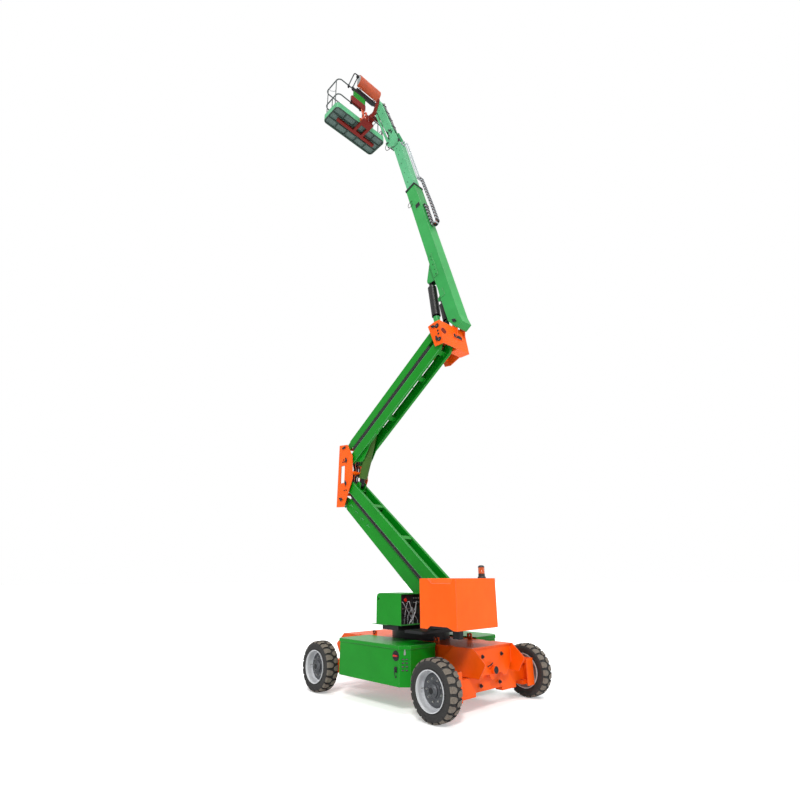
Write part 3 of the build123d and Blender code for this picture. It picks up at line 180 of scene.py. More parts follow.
def plain(name, colour, rough=0.5, metallic=0.0, scale=60, spread=0.25, bump=0.15):
    """Rubber, plastic or bare metal with a fine broken surface."""
    m, sh = new_material(name)
    grain = sh.noise(scale, 6, 0.65)
    tone = sh.mix(sh.ramp(grain, 0.35, 0.65), shade(colour, 1 - spread), shade(colour, 1 + spread))
    sh.feed(sh.bsdf, {"Base Color": tone, "Metallic": metallic,
                      "Roughness": sh.ramp(grain, 0.3, 0.7, max(0.04, rough - 0.08), rough + 0.08)})
    sh.roughen(grain, bump, 0.002)
    return m


ORANGE = paint("orange_paint", srgb(252, 94, 0), rough=0.34, dirt=0.10, dust=(0.30, 0.085, 0.02, 1))
ORANGE_LOW = paint("orange_paint_low", srgb(240, 88, 4), rough=0.38, dirt=0.16, dust=(0.22, 0.07, 0.02, 1))
GREEN = paint("green_paint", srgb(0, 134, 20), rough=0.32, dirt=0.16, edge=0.55, dust=(0.02, 0.13, 0.03, 1))
MINT = paint("light_green_paint", srgb(52, 158, 78), rough=0.38, dirt=0.16, edge=0.6,
             dust=(0.16, 0.3, 0.14, 1))
PALE_MINT = paint("pale_green_paint", srgb(92, 178, 126), rough=0.38, dirt=0.16, edge=0.7,
                  dust=(0.2, 0.42, 0.26, 1))
OLIVE = paint("olive_paint", srgb(62, 98, 34), rough=0.5, dirt=0.3, dust=(0.08, 0.09, 0.05, 1))
BLACK = paint("black_paint", srgb(26, 27, 30), rough=0.42, dirt=0.2, edge=0.12, coat=0.1,
              dust=(0.06, 0.055, 0.05, 1))
STEEL_GREY = paint("grey_paint", srgb(92, 98, 98), rough=0.42, dirt=0.2, edge=0.25)
PALE_GREY = paint("pale_grey_paint", srgb(176, 180, 180), rough=0.4, dirt=0.2, edge=0.2)
DARK_RED = paint("red_paint", srgb(118, 22, 12), rough=0.42, dirt=0.3, dust=(0.09, 0.03, 0.02, 1))
HUB_GREY = plain("hub_grey", srgb(78, 80, 84), 0.45, 0.4, 70, 0.2, 0.1)
CHROME = plain("chrome", srgb(205, 208, 212), 0.14, 1.0, 30, 0.05, 0.02)
ZINC = plain("zinc", srgb(150, 150, 148), 0.35, 0.9, 140, 0.2, 0.1)
RUBBER = plain("rubber", srgb(38, 37, 36), 0.75, 0.0, 80, 0.35, 0.3)
WORN = plain("rubber_worn", srgb(106, 98, 88), 0.85, 0.0, 55, 0.3, 0.4)
PLASTIC = plain("black_plastic", srgb(26, 27, 29), 0.5, 0.0, 300, 0.15, 0.25)
HOSE = plain("hose", srgb(20, 20, 21), 0.42, 0.0, 200, 0.2, 0.15)
HOSE_ORANGE = plain("hose_orange", srgb(214, 78, 30), 0.45, 0.0, 200, 0.15, 0.1)
KNOB_RED = plain("red_knob", srgb(200, 26, 20), 0.3, 0.0, 60, 0.08, 0.02)
COVER = plain("cover_plastic", srgb(184, 72, 26), 0.42, 0.0, 9, 0.16, 0.05)
TUBE_WHITE = plain("white_tube", srgb(178, 184, 188), 0.3, 0.25, 40, 0.1, 0.02)


def glass_lens():
    m, sh = new_material("amber_lens")
    tone = sh.mix(sh.ramp(sh.noise(45, 5), 0.3, 0.7), srgb(214, 84, 8), srgb(242, 124, 22))
    sh.feed(sh.bsdf, {"Base Color": tone, "Roughness": 0.18, "Transmission Weight": 0.45, "IOR": 1.45,
                      "Coat Weight": 0.6})
    return m


AMBER = glass_lens()


def mesh_floor():
    """Deck seen from below: dark frame, and paler expanded metal up in its pockets, the paler tone being
    painted light coming through the mesh.
    """
    m, sh = new_material("deck_plate")
    frame_tone = sh.mix(sh.ramp(sh.noise(40, 5), 0.3, 0.7), srgb(14, 34, 26), srgb(28, 56, 44))
    bars = []
    for turn in (45, -45):
        spin = sh.add("Mapping", {"Vector": sh.place(), "Rotation": (0, 0, math.radians(turn))})
        wave = sh.add("TexWave", {"Vector": spin.outputs["Vector"], "Scale": 9})
        bars.append(sh.ramp(wave.outputs["Fac"], 0.55, 0.75))
    lattice = sh.combine("MAXIMUM", *bars)
    # the pale lattice tone is painted light showing through the expanded metal
    mesh_tone = sh.mix(lattice, srgb(26, 46, 40), srgb(96, 120, 112))
    height = sh.add("SeparateXYZ", {"Vector": sh.place()}).outputs["Z"]
    deck_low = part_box("platform_deck")[0].z
    up = sh.ramp(height, deck_low + 0.012, deck_low + 0.02)
    sh.feed(sh.bsdf, {"Base Color": sh.mix(up, frame_tone, mesh_tone), "Roughness": 0.55})
    sh.roughen(lattice, 0.4, 0.004)
    return m


DECK = mesh_floor()


# --- mesh building
def around(side, other, n):
    """Directions in the plane of two square unit vectors, n to a turn."""
    turns = [2 * math.pi * k / n for k in range(n)]
    return [side * math.cos(t) + other * math.sin(t) for t in turns]


def spokes(axis, n):
    side = axis.orthogonal().normalized()
    return around(side, axis.cross(side), n)


class Piece:
    """Collects solids into one mesh. Sizes are in millimetres in the frame of a member.

    index is the number of the material that the next solids take.
    """

    def __init__(self, name, material, body, base=CHASSIS, bevel=1.5, angle=35):
        self.name, self.body, self.base = name, body, base
        self.materials = material if isinstance(material, list) else [material]
        self.bevel, self.angle, self.index = bevel, angle, 0
        self.bm = bmesh.new()

    def faces(self, points, faces):
        verts = [self.bm.verts.new(self.base @ (Vector(p) * MM)) for p in points]
        for f in faces:
            face = self.bm.faces.new([verts[i] for i in f])
            face.material_index = self.index
        return self

    def loft(self, rings, closed=True, cap=True):
        """Joins rings of equal size into a skin, with flat ends."""
        n, points, faces = len(rings[0]), [p for r in rings for p in r], []
        for i in range(len(rings) - (1 if closed else 0)):
            a, b = i * n, ((i + 1) % len(rings)) * n
            for k in range(n):
                faces.append((a + k, a + (k + 1) % n, b + (k + 1) % n, b + k))
        if cap and closed:
            faces.append(tuple(reversed(range(n))))
            faces.append(tuple((len(rings) - 1) * n + k for k in range(n)))
        return self.faces(points, faces)

    def box(self, x0, x1, y0, y1, z0, z1):
        return self.loft([[(x0, y0, z), (x1, y0, z), (x1, y1, z), (x0, y1, z)] for z in (z0, z1)])

    def prism(self, plane, outline, a, b):
        """An outline in the XZ (y), YZ (x) or XY (z) plane, from a to b."""
        place = {"x": lambda u, v, w: (w, u, v), "y": lambda u, v, w: (u, w, v),
                 "z": lambda u, v, w: (u, v, w)}[plane]
        return self.loft([[place(u, v, w) for u, v in outline] for w in (a, b)])

    def cyl(self, p, q, r, n=20):
        p, q = Vector(p), Vector(q)
        ring = spokes((q - p).normalized(), n)
        return self.loft([[tuple(end + d * r) for d in ring] for end in (p, q)])

    def ring(self, p, q, outer, inner, n=32):
        p, q = Vector(p), Vector(q)
        corners = ((p, inner), (p, outer), (q, outer), (q, inner))
        points = [tuple(end + d * r) for d in spokes((q - p).normalized(), n) for end, r in corners]
        faces = []
        for k in range(n):
            a, b = 4 * k, 4 * ((k + 1) % n)
            faces += [(a + j, a + (j + 1) % 4, b + (j + 1) % 4, b + j) for j in range(4)]
        return self.faces(points, faces)

    def tube(self, points, r, bend=60, n=10, steps=5):
        """A round hose along straight runs with rounded corners."""
        pts = [Vector(p) for p in points]
        path = [pts[0]]
        for a, b, c in zip(pts, pts[1:], pts[2:]):
            u, v = (a - b), (c - b)
            cut = min(bend, u.length * 0.48, v.length * 0.48)
            p0, p1 = b + u.normalized() * cut, b + v.normalized() * cut
            path += [p0.lerp(b, t).lerp(b.lerp(p1, t), t) for t in [i / steps for i in range(steps + 1)]]
        path.append(pts[-1])
        rings, side = [], None
        for i, p in enumerate(path):
            d = (path[min(i + 1, len(path) - 1)] - path[max(i - 1, 0)]).normalized()
            side = d.orthogonal().normalized() if side is None else (side - d * side.dot(d)).normalized()
            rings.append([tuple(p + spoke * r) for spoke in around(side, d.cross(side), n)])
        return self.loft(rings)

    def bolt(self, p, axis, size=18, high=11):
        """Washer and hexagon head standing on a face."""
        p, axis = Vector(p), Vector(axis).normalized()
        self.cyl(p, p + axis * 3, size * 0.72, n=16)
        return self.cyl(p + axis * 3, p + axis * (3 + high), size * 0.52, n=6)

    def turned(self, centre, axis, profile, n=40):
        """A profile of (radius, along) points turned about an axis."""
        c, axis = Vector(centre), Vector(axis).normalized()
        points = [tuple(c + d * r + axis * a) for d in spokes(axis, n) for r, a in profile]
        m, faces = len(profile), []
        for k in range(n):
            a, b = k * m, ((k + 1) % n) * m
            faces += [(a + j, b + j, b + j + 1, a + j + 1) for j in range(m - 1)]
        return self.faces(points, faces)

    def done(self, replaces=()):
        bm = self.bm
        bmesh.ops.remove_doubles(bm, verts=bm.verts, dist=1e-6)
        bmesh.ops.recalc_face_normals(bm, faces=bm.faces)
        limit = math.radians(self.angle)
        for f in bm.faces:
            f.smooth = True
        for e in bm.edges:
            e.smooth = len(e.link_faces) == 2 and e.calc_face_angle(0) < limit
        mesh = bpy.data.meshes.new(self.name)
        bm.to_mesh(mesh)
        bm.free()
        for mat in self.materials:
            mesh.materials.append(mat)
        obj = bpy.data.objects.new(self.name, mesh)
        bpy.context.scene.collection.objects.link(obj)
        if self.bevel:
            mod = obj.modifiers.new("edge", "BEVEL")
            mod.width, mod.segments, mod.limit_method = self.bevel * MM, 2, "ANGLE"
            mod.angle_limit = limit
        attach(obj, self.body)
        if replaces:
            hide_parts(*replaces)
        return obj


def give(material, *names):
    """Puts a material on CAD nodes."""
    for name in names:
        obj = frame["nodes"][name]
        obj.data.materials.clear()
        obj.data.materials.append(material)


# --- camera
EYE = Vector((-6.051, 6.212, 1.703)) + Vector((slew.x, slew.y, 0))
YAW, PITCH, ROLL = math.radians(-43.61), math.radians(20.0), math.radians(0.18)
cam_data = bpy.data.cameras.new("camera")
cam_data.lens, cam_data.sensor_width = 21.94, 36.0
cam_data.clip_end = 400
camera = bpy.data.objects.new("camera", cam_data)
bpy.context.scene.collection.objects.link(camera)
look = Vector((math.cos(YAW) * math.cos(PITCH), math.sin(YAW) * math.cos(PITCH), math.sin(PITCH)))
camera.matrix_world = (Matrix.Translation(EYE) @ look.to_track_quat("-Z", "Y").to_matrix().to_4x4()
                       @ Matrix.Rotation(-ROLL, 4, "Z"))
bpy.context.scene.camera = camera

# --- light and floor
scene = bpy.context.scene
scene.view_settings.view_transform = "Standard"


def studio_world():
    """Soft light on the object; white to the camera, in gloss and through glass."""
    world = bpy.data.worlds.new("studio")
    scene.world = world
    sh = Shader(world)
    light = sh.nodes["Background"]
    sh.feed(light, {"Color": (0.93, 0.96, 1.0, 1), "Strength": 0.5})
    white = sh.add("Background", {"Color": (1, 1, 1, 1), "Strength": 1.0})
    rays = sh.add("LightPath").outputs
    seen = sh.combine("MAXIMUM", rays["Is Camera Ray"], rays["Is Transmission Ray"])
    seen = sh.combine("MAXIMUM", seen, rays["Is Glossy Ray"])
    blend = sh.add("MixShader", {0: seen, 1: light.outputs[0], 2: white.outputs[0]})
    sh.feed(sh.nodes["World Output"], {"Surface": blend.outputs[0]})


studio_world()


def sun(name, direction, strength, angle, colour=(1, 1, 1)):
    data = bpy.data.lights.new(name, "SUN")
    data.energy, data.angle, data.color = strength, math.radians(angle), colour
    obj = bpy.data.objects.new(name, data)
    obj.rotation_euler = Vector(direction).to_track_quat("-Z", "Y").to_euler()
    scene.collection.objects.link(obj)


sun("key", (0.55, -0.62, -0.75), 2.0, 12, (1.0, 0.98, 0.95))
sun("fill", (0.9, 0.5, -0.25), 0.5, 40, (0.9, 0.95, 1.0))
sun("top", (0.05, 0.05, -1), 1.1, 25)


def pale_floor():
    """Pale floor that keeps the shadow and is lifted to white for the camera."""
    half = 150
    corners = [(-half, -half, 0), (half, -half, 0), (half, half, 0), (-half, half, 0)]
    mesh = bpy.data.meshes.new("floor")
    mesh.from_pydata(corners, [], [(0, 1, 2, 3)])
    floor = bpy.data.objects.new("floor", mesh)
    floor.location = (slew.x, slew.y, -0.0005)
    scene.collection.objects.link(floor)
    material, sh = new_material("floor")
    sh.feed(sh.bsdf, {"Base Color": (0.93, 0.93, 0.93, 1), "Roughness": 0.9, "Specular IOR Level": 0.1})
    camera_ray = sh.add("LightPath").outputs["Is Camera Ray"]
    glow = sh.add("Emission", {"Strength": sh.combine("MULTIPLY", camera_ray, 0.35)})
    both = sh.add("AddShader", {0: sh.bsdf.outputs[0], 1: glow.outputs[0]})
    sh.feed(sh.nodes["Material Output"], {"Surface": both.outputs[0]})
    mesh.materials.append(material)


pale_floor()

# --- CAD nodes' looks
give(ORANGE_LOW, "chassis_frame", "front_axle", "rear_axle", "steer_knuckle_left", "steer_knuckle_right")
give(ORANGE, "tail_hood", "right_cover", "mid_knuckle", "upper_knuckle")
give(GREEN, "battery_box_left", "battery_box_right", "battery_lid_left", "battery_lid_right",
     "control_cabinet", "lower_riser", "upper_riser", "lower_link", "upper_link")
give(MINT, "boom_outer", "lift_barrel")
give(PALE_MINT, "boom_fly", "boom_tip", "jib", "jib_link", "platform_floor")
give(BLACK, "slew_ring", "counterweight", "power_unit", "boom_collar", "level_barrel", "tie_rod",
     "turret_frame", "battery_pack_left", "battery_pack_right", "lift_rod", "riser_rod", "jib_barrel")
give(OLIVE, "riser_rod_guard", "riser_barrel")
give(CHROME, "level_rod", "jib_rod")
give(TUBE_WHITE, "service_tubes")
give(DECK, "platform_deck")
give(STEEL_GREY, "platform_rails")
give(PALE_GREY, "platform_gate")
give(DARK_RED, "platform_support", "platform_bracket")
give(PLASTIC, "console", "control_panel", "cable_carrier")
give(COVER, "console_cover")
give(AMBER, "beacon")


# --- wheels
TYRE_R = 367.5
LUGS_IN_ROW = 21


def wheel(end, side):
    """Lugged tyre in place of the plain one, and a disc, hub and valve in the rim's dish."""
    body = f"{end}_{side}_wheel"
    lo, hi = node_box(f"{end}_{side}_tyre")
    centre = [(a + b) / 2 for a, b in zip(lo, hi)]
    out = 1 if centre[1] > 0 else -1
    base = CHASSIS @ Matrix.Translation(Vector(centre) * MM) @ Matrix.Diagonal((1, out, 1, 1))
    # carcass under the lugs
    tyre = Piece(f"{end}_{side}_carcass", RUBBER, body, base, 0, 50)
    section = [(231, -88), (243, -106), (290, -112), (322, -110), (342, -96), (349, -60), (350, 0),
               (349, 60), (342, 96), (322, 110), (318, 113), (300, 113), (297, 111), (290, 112), (243, 106),
               (231, 88)]
    tyre.turned((0, 0, 0), (0, 1, 0), section, 72)
    tyre.done()
    # chevron lugs in two staggered rows
    lugs = Piece(f"{end}_{side}_lugs", [RUBBER, WORN], body, base, 2.5, 40)
    pitch = 2 * math.pi / LUGS_IN_ROW
    # across the tread: place, start and end of the lug in pitches, drop of its top and of its root
    stations = [(5, -0.12, 0.24, 0, 24), (32, -0.30, 0.40, 0, 24), (78, -0.40, 0.37, -2, 30),
                (98, -0.42, 0.36, -9, 38), (110, -0.42, 0.36, -26, 52), (116, -0.40, 0.34, -56, 74)]
    for row in (1, -1):
        for k in range(LUGS_IN_ROW):
            start = (k + (0.5 if row < 0 else 0)) * pitch
            rings = []
            for y, a, b, drop, base_drop in stations:
                top, low = TYRE_R - 0.5 + drop, TYRE_R - base_drop
                ring = [(low, a), (low, b), (top, b - 0.03), (top, a + 0.03)]
                rings.append([(r * math.cos(start + t * pitch), row * y, r * math.sin(start + t * pitch))
                              for r, t in ring])
            lugs.loft(rings)
    # worn rubber on the outer faces of the lugs
    inv = base.inverted()
    turn = inv.to_3x3()
    bm = lugs.bm
    bmesh.ops.recalc_face_normals(bm, faces=bm.faces)
    for f in bm.faces:
        c = inv @ f.calc_center_median() / MM
        n = (turn @ f.normal).normalized()
        spoke = Vector((c.x, 0, c.z))
        if n.dot(spoke.normalized()) > 0.45 and spoke.length > TYRE_R - 32:
            f.material_index = 1
    lugs.done([f"{end}_{side}_tyre"])
    # disc and hub cover inside the dish
    disc = Piece(f"{end}_{side}_disc", [HUB_GREY, ZINC, BLACK], body, base, 1.5)
    disc.turned((0, 0, 0), (0, 1, 0), [(96, 22), (96, 27), (150, 24), (176, 24), (196, 12), (214, -2),
                                       (214, -6)], 48)
    disc.turned((0, 0, 0), (0, 1, 0), [(0, 92), (40, 92), (50, 86), (62, 84), (66, 80), (83, 66), (84, 40),
                                       (97, 34), (98, 26)], 40)
    disc.index = 2
    disc.turned((0, 0, 0), (0, 1, 0), [(0, 95), (34, 95), (38, 92)], 32)
    disc.index = 1
    for k in range(9):
        a = 2 * math.pi * k / 9
        disc.bolt((130 * math.cos(a), 25, 130 * math.sin(a)), (0, 1, 0), 19, 15)
    disc.index = 2
    for k in range(6):
        a = 2 * math.pi * (k + 0.5) / 6
        disc.bolt((58 * math.cos(a), 84, 58 * math.sin(a)), (0, 1, 0), 9, 5)
    disc.done()
    # valve stem
    valve = Piece(f"{end}_{side}_valve", ZINC, body, base, 0.5)
    valve.cyl((196, 18, 0), (190, 56, 0), 5)
    valve.cyl((190, 56, 0), (188, 68, 0), 6.5, n=8)
    valve.done()


for end in ("front", "rear"):
    for side in ("left", "right"):
        wheel(end, side)


# --- chassis
def chassis_details():
    """Bolts and covers on the end plates, tie-down rings and welds of the bridges."""
    bolts = Piece("chassis_bolts", BLACK, "chassis", CHASSIS, 1)
    for s in (1, -1):
        for x, y, z in ((1385, -220, 675), (1385, 220, 675), (1332, -215, 315), (1332, 215, 315)):
            bolts.cyl((s * x, y, z), (s * (x + 7), y, z), 26, n=20)
            bolts.bolt((s * (x + 7), y, z), (s, 0, 0), 30, 20)
        bolts.cyl((s * 1445, 0, 495), (s * 1449, 0, 495), 48, n=28)
        for a in (45, 135, 225, 315):
            c, d = math.cos(math.radians(a)), math.sin(math.radians(a))
            bolts.bolt((s * 1449, 30 * c, 495 + 30 * d), (s, 0, 0), 11, 7)
        bolts.tube([(s * 1390, 30, 560), (s * 1425, 34, 590), (s * 1432, 90, 570), (s * 1392, 120, 540)],
                   7, 20)
    # tie-down shackle rings in the deck lugs
    for sx in (1, -1):
        for sy in (1, -1):
            bolts.ring((sx * 690, sy * 392, 855), (sx * 690, sy * 400, 855), 30, 20, 20)
    bolts.done()
    # weld beads along the roof plates of each bridge
    welds = Piece("bridge_welds", ORANGE_LOW, "chassis", CHASSIS, 0)
    for s in (1, -1):
        for u in (1, -1):
            line = [(s * 912, u * 449, 662), (s * 1080, u * 449, 784), (s * 1405, u * 449, 784)]
            welds.tube(line, 5, 12, 8)
        welds.tube([(s * 1390, -445, 781), (s * 1390, 445, 781)], 5, 5, 8)
    welds.done()


chassis_details()


def battery_box_details(side):
    """Switch, charging inlet, louvres and lid latch on the outside of a battery box."""
    sy = 1 if side == "left" else -1
    base = CHASSIS @ Matrix.Diagonal((1, sy, 1, 1))
    bits = Piece(f"box_fittings_{side}", [BLACK, KNOB_RED, ZINC], "chassis", base, 1)
    # battery switch with its red handle
    x, z = -564, 690
    bits.turned((x, 1080, z), (0, 1, 0), [(66, 0), (66, 5), (58, 9), (44, 9), (40, 4), (0, 4)], 36)
    bits.index = 1
    bits.loft([[(x - u, y, z - w), (x + u, y, z - w), (x + u, y, z + w), (x - u, y, z + w)]
               for u, w, y in ((40, 11, 1084), (36, 9, 1104))])
    bits.index = 0
    # charging inlet, its cap and the key slot below
    bits.box(-590, -542, 1080, 1088, 486, 556)
    bits.turned((-566, 1088, 528), (0, 1, 0), [(22, 0), (22, 12), (16, 15), (0, 15)], 24)
    bits.tube([(-566, 1100, 512), (-560, 1110, 492), (-568, 1104, 462), (-566, 1092, 446)], 5, 12)
    bits.turned((-566, 1082, 430), (0, 1, 0), [(13, 0), (13, 5), (0, 5)], 16)
    # the slanted corner: outwards and along it
    out = Vector((-1, 1, 0)).normalized()
    along = Vector((1, 1, 0)).normalized()

    def panel(centre, stand, left, right, low, high):
        start = centre + out * stand
        return [tuple(start + along * t + Vector((0, 0, z)))
                for t, z in ((left, low), (right, low), (right, high), (left, high))]

    # louvres pressed outwards, two columns of four
    for column in (-26, 26):
        for row in range(4):
            centre = Vector((-684, 1024, 640 - 44 * row)) + along * column
            foot = panel(centre, 0, -17, 17, 0, 20)
            top = panel(centre, 6, -15, 15, 2, 18)[:2] + panel(centre, 2, -13, 13, 2, 18)[2:]
            bits.loft([foot, top])
    # toggle latch that holds the lid
    bits.index = 2
    centre = Vector((-684, 1024, 735))
    for half, low, high, depth in ((14, -34, 14, 5), (9, -8, 52, 9)):
        bits.loft([panel(centre, 0.5, -half, half, low, high),
                   panel(centre, depth, 2 - half, half - 2, low + 2, high - 2)])
    bits.done()


for side in ("left", "right"):
    battery_box_details(side)


# --- pins and keepers
def chassis_point(name):
    """Place of a pivot, in millimetres along X and Z from the slewing axis on the ground."""
    heads = {"lower_link_head": ("lower_link_foot", "riser_lift", "mid_knuckle_pin"),
             "upper_link_head": ("upper_link_foot", "upper_riser_pin", "upper_knuckle_pin")}
    if name in heads:
        foot, a, b = (pin(n) for n in heads[name])
        p = foot + b - a
    else:
        p = pin(name)
    return (p.x - slew.x) / MM, p.z / MM


def pin_end(piece, x, z, y, side, r=30, turn=35):
    """Cap of a pivot pin with its keeper bar and two bolts, on the face at y."""
    cap = [(r, -2), (r, 3), (r - 4, 6), (r * 0.4, 6), (r * 0.35, 4), (0, 4)]
    piece.turned((x, y, z), (0, side, 0), cap, 28)
    c, s = math.cos(math.radians(turn)), math.sin(math.radians(turn))
    u, w = r + 24, 15
    bar = [(x + c * a - s * b, z + s * a + c * b) for a, b in ((-u, -w), (u, -w), (u, w), (-u, w))]
    piece.prism("y", bar, *sorted((y + side * 4, y + side * 10)))
    for a in (-u + 14, u - 14):
        piece.bolt((x + c * a, y + side * 9, z + s * a), (0, side, 0), 15, 8)


def pins():
    """Ends of the pivot pins of the risers and the boom."""
    def caps(piece, joints, half):
        for joint, r, turn in joints:
            x, z = chassis_point(joint)
            for side in (1, -1):
                pin_end(piece, x, z, RISER_Y + side * half, side, r, turn)

    mid = Piece("mid_pins", BLACK, "mid", CHASSIS, 1)
    caps(mid, (("mid_knuckle_pin", 31, 75), ("upper_riser_pin", 31, 80), ("lower_link_head", 31, 20),
               ("upper_link_foot", 31, -10)), 212)
    mid.done()
    top = Piece("upper_pins", BLACK, "top", CHASSIS, 1)
    caps(top, (("upper_knuckle_pin", 31, 75), ("upper_link_head", 31, 20)), 212)
    for joint, r in (("lift_barrel_pin", 30), ("level_barrel_pin", 23)):
        x, z = chassis_point(joint)
        pin_end(top, x, z, BOOM_Y - 160, -1, r, 10)
    top.done()
    foot = Piece("turret_pins", BLACK, "turret", CHASSIS, 1)
    caps(foot, (("riser_lift", 30, 50), ("lower_link_foot", 30, 50)), 205)
    foot.done()
    boom = Piece("boom_pins", BLACK, "boom", BOOM, 1)
    for side in (1, -1):
        pin_end(boom, 0, 0, BOOM_Y + side * 138, side, 35, -40)
        # rod eyes of the lift and levelling cylinders in the boom's brackets
        for s, h, r, half in ((1335, -310, 40, 74), (757, -208, 30, 67)):
            boom.turned((s, BOOM_Y + side * half, h), (0, side, 0), [(r, -1), (r, 3), (r - 4, 6), (0, 6)], 28)
    boom.done()


pins()


# --- hoses
def riser_hoses():
    """Hose bundles under both risers with their clamps, and the bundle through the knuckle."""
    low = Piece("lower_riser_hoses", [HOSE, ZINC], "riser_low", LOWER, 0)
    for k, y in enumerate((92, 118, 144, 176, 204, 230)):
        low.tube([(60, y, -60), (230, y, -118), (1600, y + (4 if k % 2 else -4), -124), (2960, y, -118),
                  (3010, y, -60)], 15 if k % 3 else 18, 120)
    for h, r in ((-124, 16), (-158, 13)):
        low.tube([(140, 284, h + 40), (330, 284, h), (2800, 284, h), (2960, 284, h + 40)], r, 120)
    low.index = 1
    for y in (250, 262):
        low.tube([(300, y, -150), (1600, y, -156), (2900, y, -146)], 6, 200)
    low.index = 0
    for s in (330, 700, 1250, 1700, 2200, 2650):
        low.box(s - 16, s + 16, 58, 300, -104, -98)
        low.box(s - 16, s + 16, 270, 300, -160, -98)
    low.done()
    high = Piece("upper_riser_hoses", HOSE, "riser_high", UPPER, 0)
    for k, y in enumerate((82, 106, 130, 190, 214, 238)):
        high.tube([(60, y, -20), (240, y, -66), (1600, y + (4 if k % 2 else -4), -72), (2960, y, -66),
                   (3010, y, -20)], 15 if k % 3 else 18, 120)
    for h, r in ((-60, 17), (-98, 17), (-132, 12)):
        high.tube([(230, 284, h), (2860, 284, h)], r, 120)
    for y in (110, 160, 210):
        high.tube([(150, y, -60), (400, y, -100), (1600, y, -104), (2850, y, -96), (2960, y, -50)], 14, 120)
    for s in (480, 1000, 1500, 2000, 2500):
        high.box(s - 16, s + 16, 58, 300, -46, -41)
        high.box(s - 16, s + 16, 270, 300, -112, -41)
    high.done()
    # bundle that turns through the middle knuckle
    turn = Piece("mid_hoses", HOSE, "mid", CHASSIS, 0)
    for k in range(5):
        y, d = 84 + 34 * k, 10 * (k % 2)
        turn.tube([(1600, y, 3470), (1640 + d, y, 3560), (1560 + d, y, 3700), (1610 + d, y, 3850),
                   (1570, y, 3910)], 13, 110)
    turn.tube([(1475, 120, 3605), (1475, 215, 3605)], 34, 10)
    turn.done()


riser_hoses()


# --- beacon
def beacon():
    """Flashing lamp: black base, ribbed amber lens and cap."""
    lamp = Piece("beacon_lamp", [PLASTIC, AMBER], "hood", CHASSIS, 0.6)
    c, up = (-1300, 20, 1690), (0, 0, 1)
    lamp.turned(c, up, [(0, 0), (61, 0), (61, 12), (56, 20), (50, 24), (48, 60), (44, 64), (0, 64)], 40)
    lamp.index = 1
    ribbed = [(0, 64), (46, 64)]
    for k in range(9):
        h = 66 + 9 * k
        ribbed += [(48, h), (48, h + 4), (46.4, h + 5), (46.4, h + 8)]
    lamp.turned(c, up, ribbed + [(48, 148), (47, 152), (0, 152)], 40)
    lamp.index = 0
    lamp.turned(c, up, [(0, 151), (49, 151), (49, 159), (44, 166), (34, 176), (20, 181), (0, 182)], 40)
    lamp.done(["beacon"])


beacon()


# --- ground controls
def control_box():
    """Plates, switches and loose wiring on the panel in the open cabinet."""
    box = Piece("control_box_fittings", [BLACK, KNOB_RED, ZINC, TUBE_WHITE, HOSE], "turret", CHASSIS, 1)
    x = -440
    rnd = random.Random(3)
    # raised plates on the panel
    box.box(x - 12, x, 478, 640, 1300, 1440)
    box.box(x - 16, x, 660, 870, 1190, 1300)
    box.box(x - 10, x, 480, 620, 1080, 1200)
    # stop button, six switches and six hexagonal plugs
    box.index = 1
    box.turned((x - 12, 800, 1390), (-1, 0, 0), [(0, 30), (24, 28), (27, 20), (20, 14), (14, 8), (14, 0)], 28)
    box.index = 2
    for y, z in ((510, 1410), (560, 1410), (610, 1410), (510, 1350), (560, 1350), (610, 1350)):
        box.turned((x - 12, y, z), (-1, 0, 0), [(11, 0), (11, 6), (4, 6), (3, 22), (0, 22)], 14)
    for y, z in ((690, 1270), (740, 1270), (790, 1270), (840, 1270), (690, 1220), (790, 1220)):
        box.turned((x - 16, y, z), (-1, 0, 0), [(13, 0), (13, 10), (8, 12), (0, 12)], 6)
    # loose wiring, pale and dark
    for k in range(18):
        box.index = 3 if k % 2 else 4
        y0, z0 = rnd.uniform(490, 860), rnd.uniform(1210, 1380)
        y1, z1 = rnd.uniform(490, 860), rnd.uniform(1062, 1130)
        ym = (y0 + y1) / 2 + rnd.uniform(-60, 60)
        ym = max(485, min(875, ym))
        run = [(x - 2, y0, z0), (x - 22, y0, z0), (x - 26, ym, (z0 + z1) / 2), (x - 20, y1, z1),
               (x - 8, y1, 1056)]
        box.tube(run, rnd.choice((3, 4, 5)), 40, 8, 4)
    box.index = 0
    # black bracket and buffer under the box
    box.box(-240, -120, 700, 860, 1003, 1036)
    box.cyl((-60, 830, 1000), (-60, 830, 1040), 20)
    box.done()
    lip = Piece("control_box_edges", GREEN, "turret", CHASSIS, 0.8)
    for low in (1051, 1466):
        lip.box(-482, -474, 460, 895, low, low + 11)
    lip.done()


control_box()


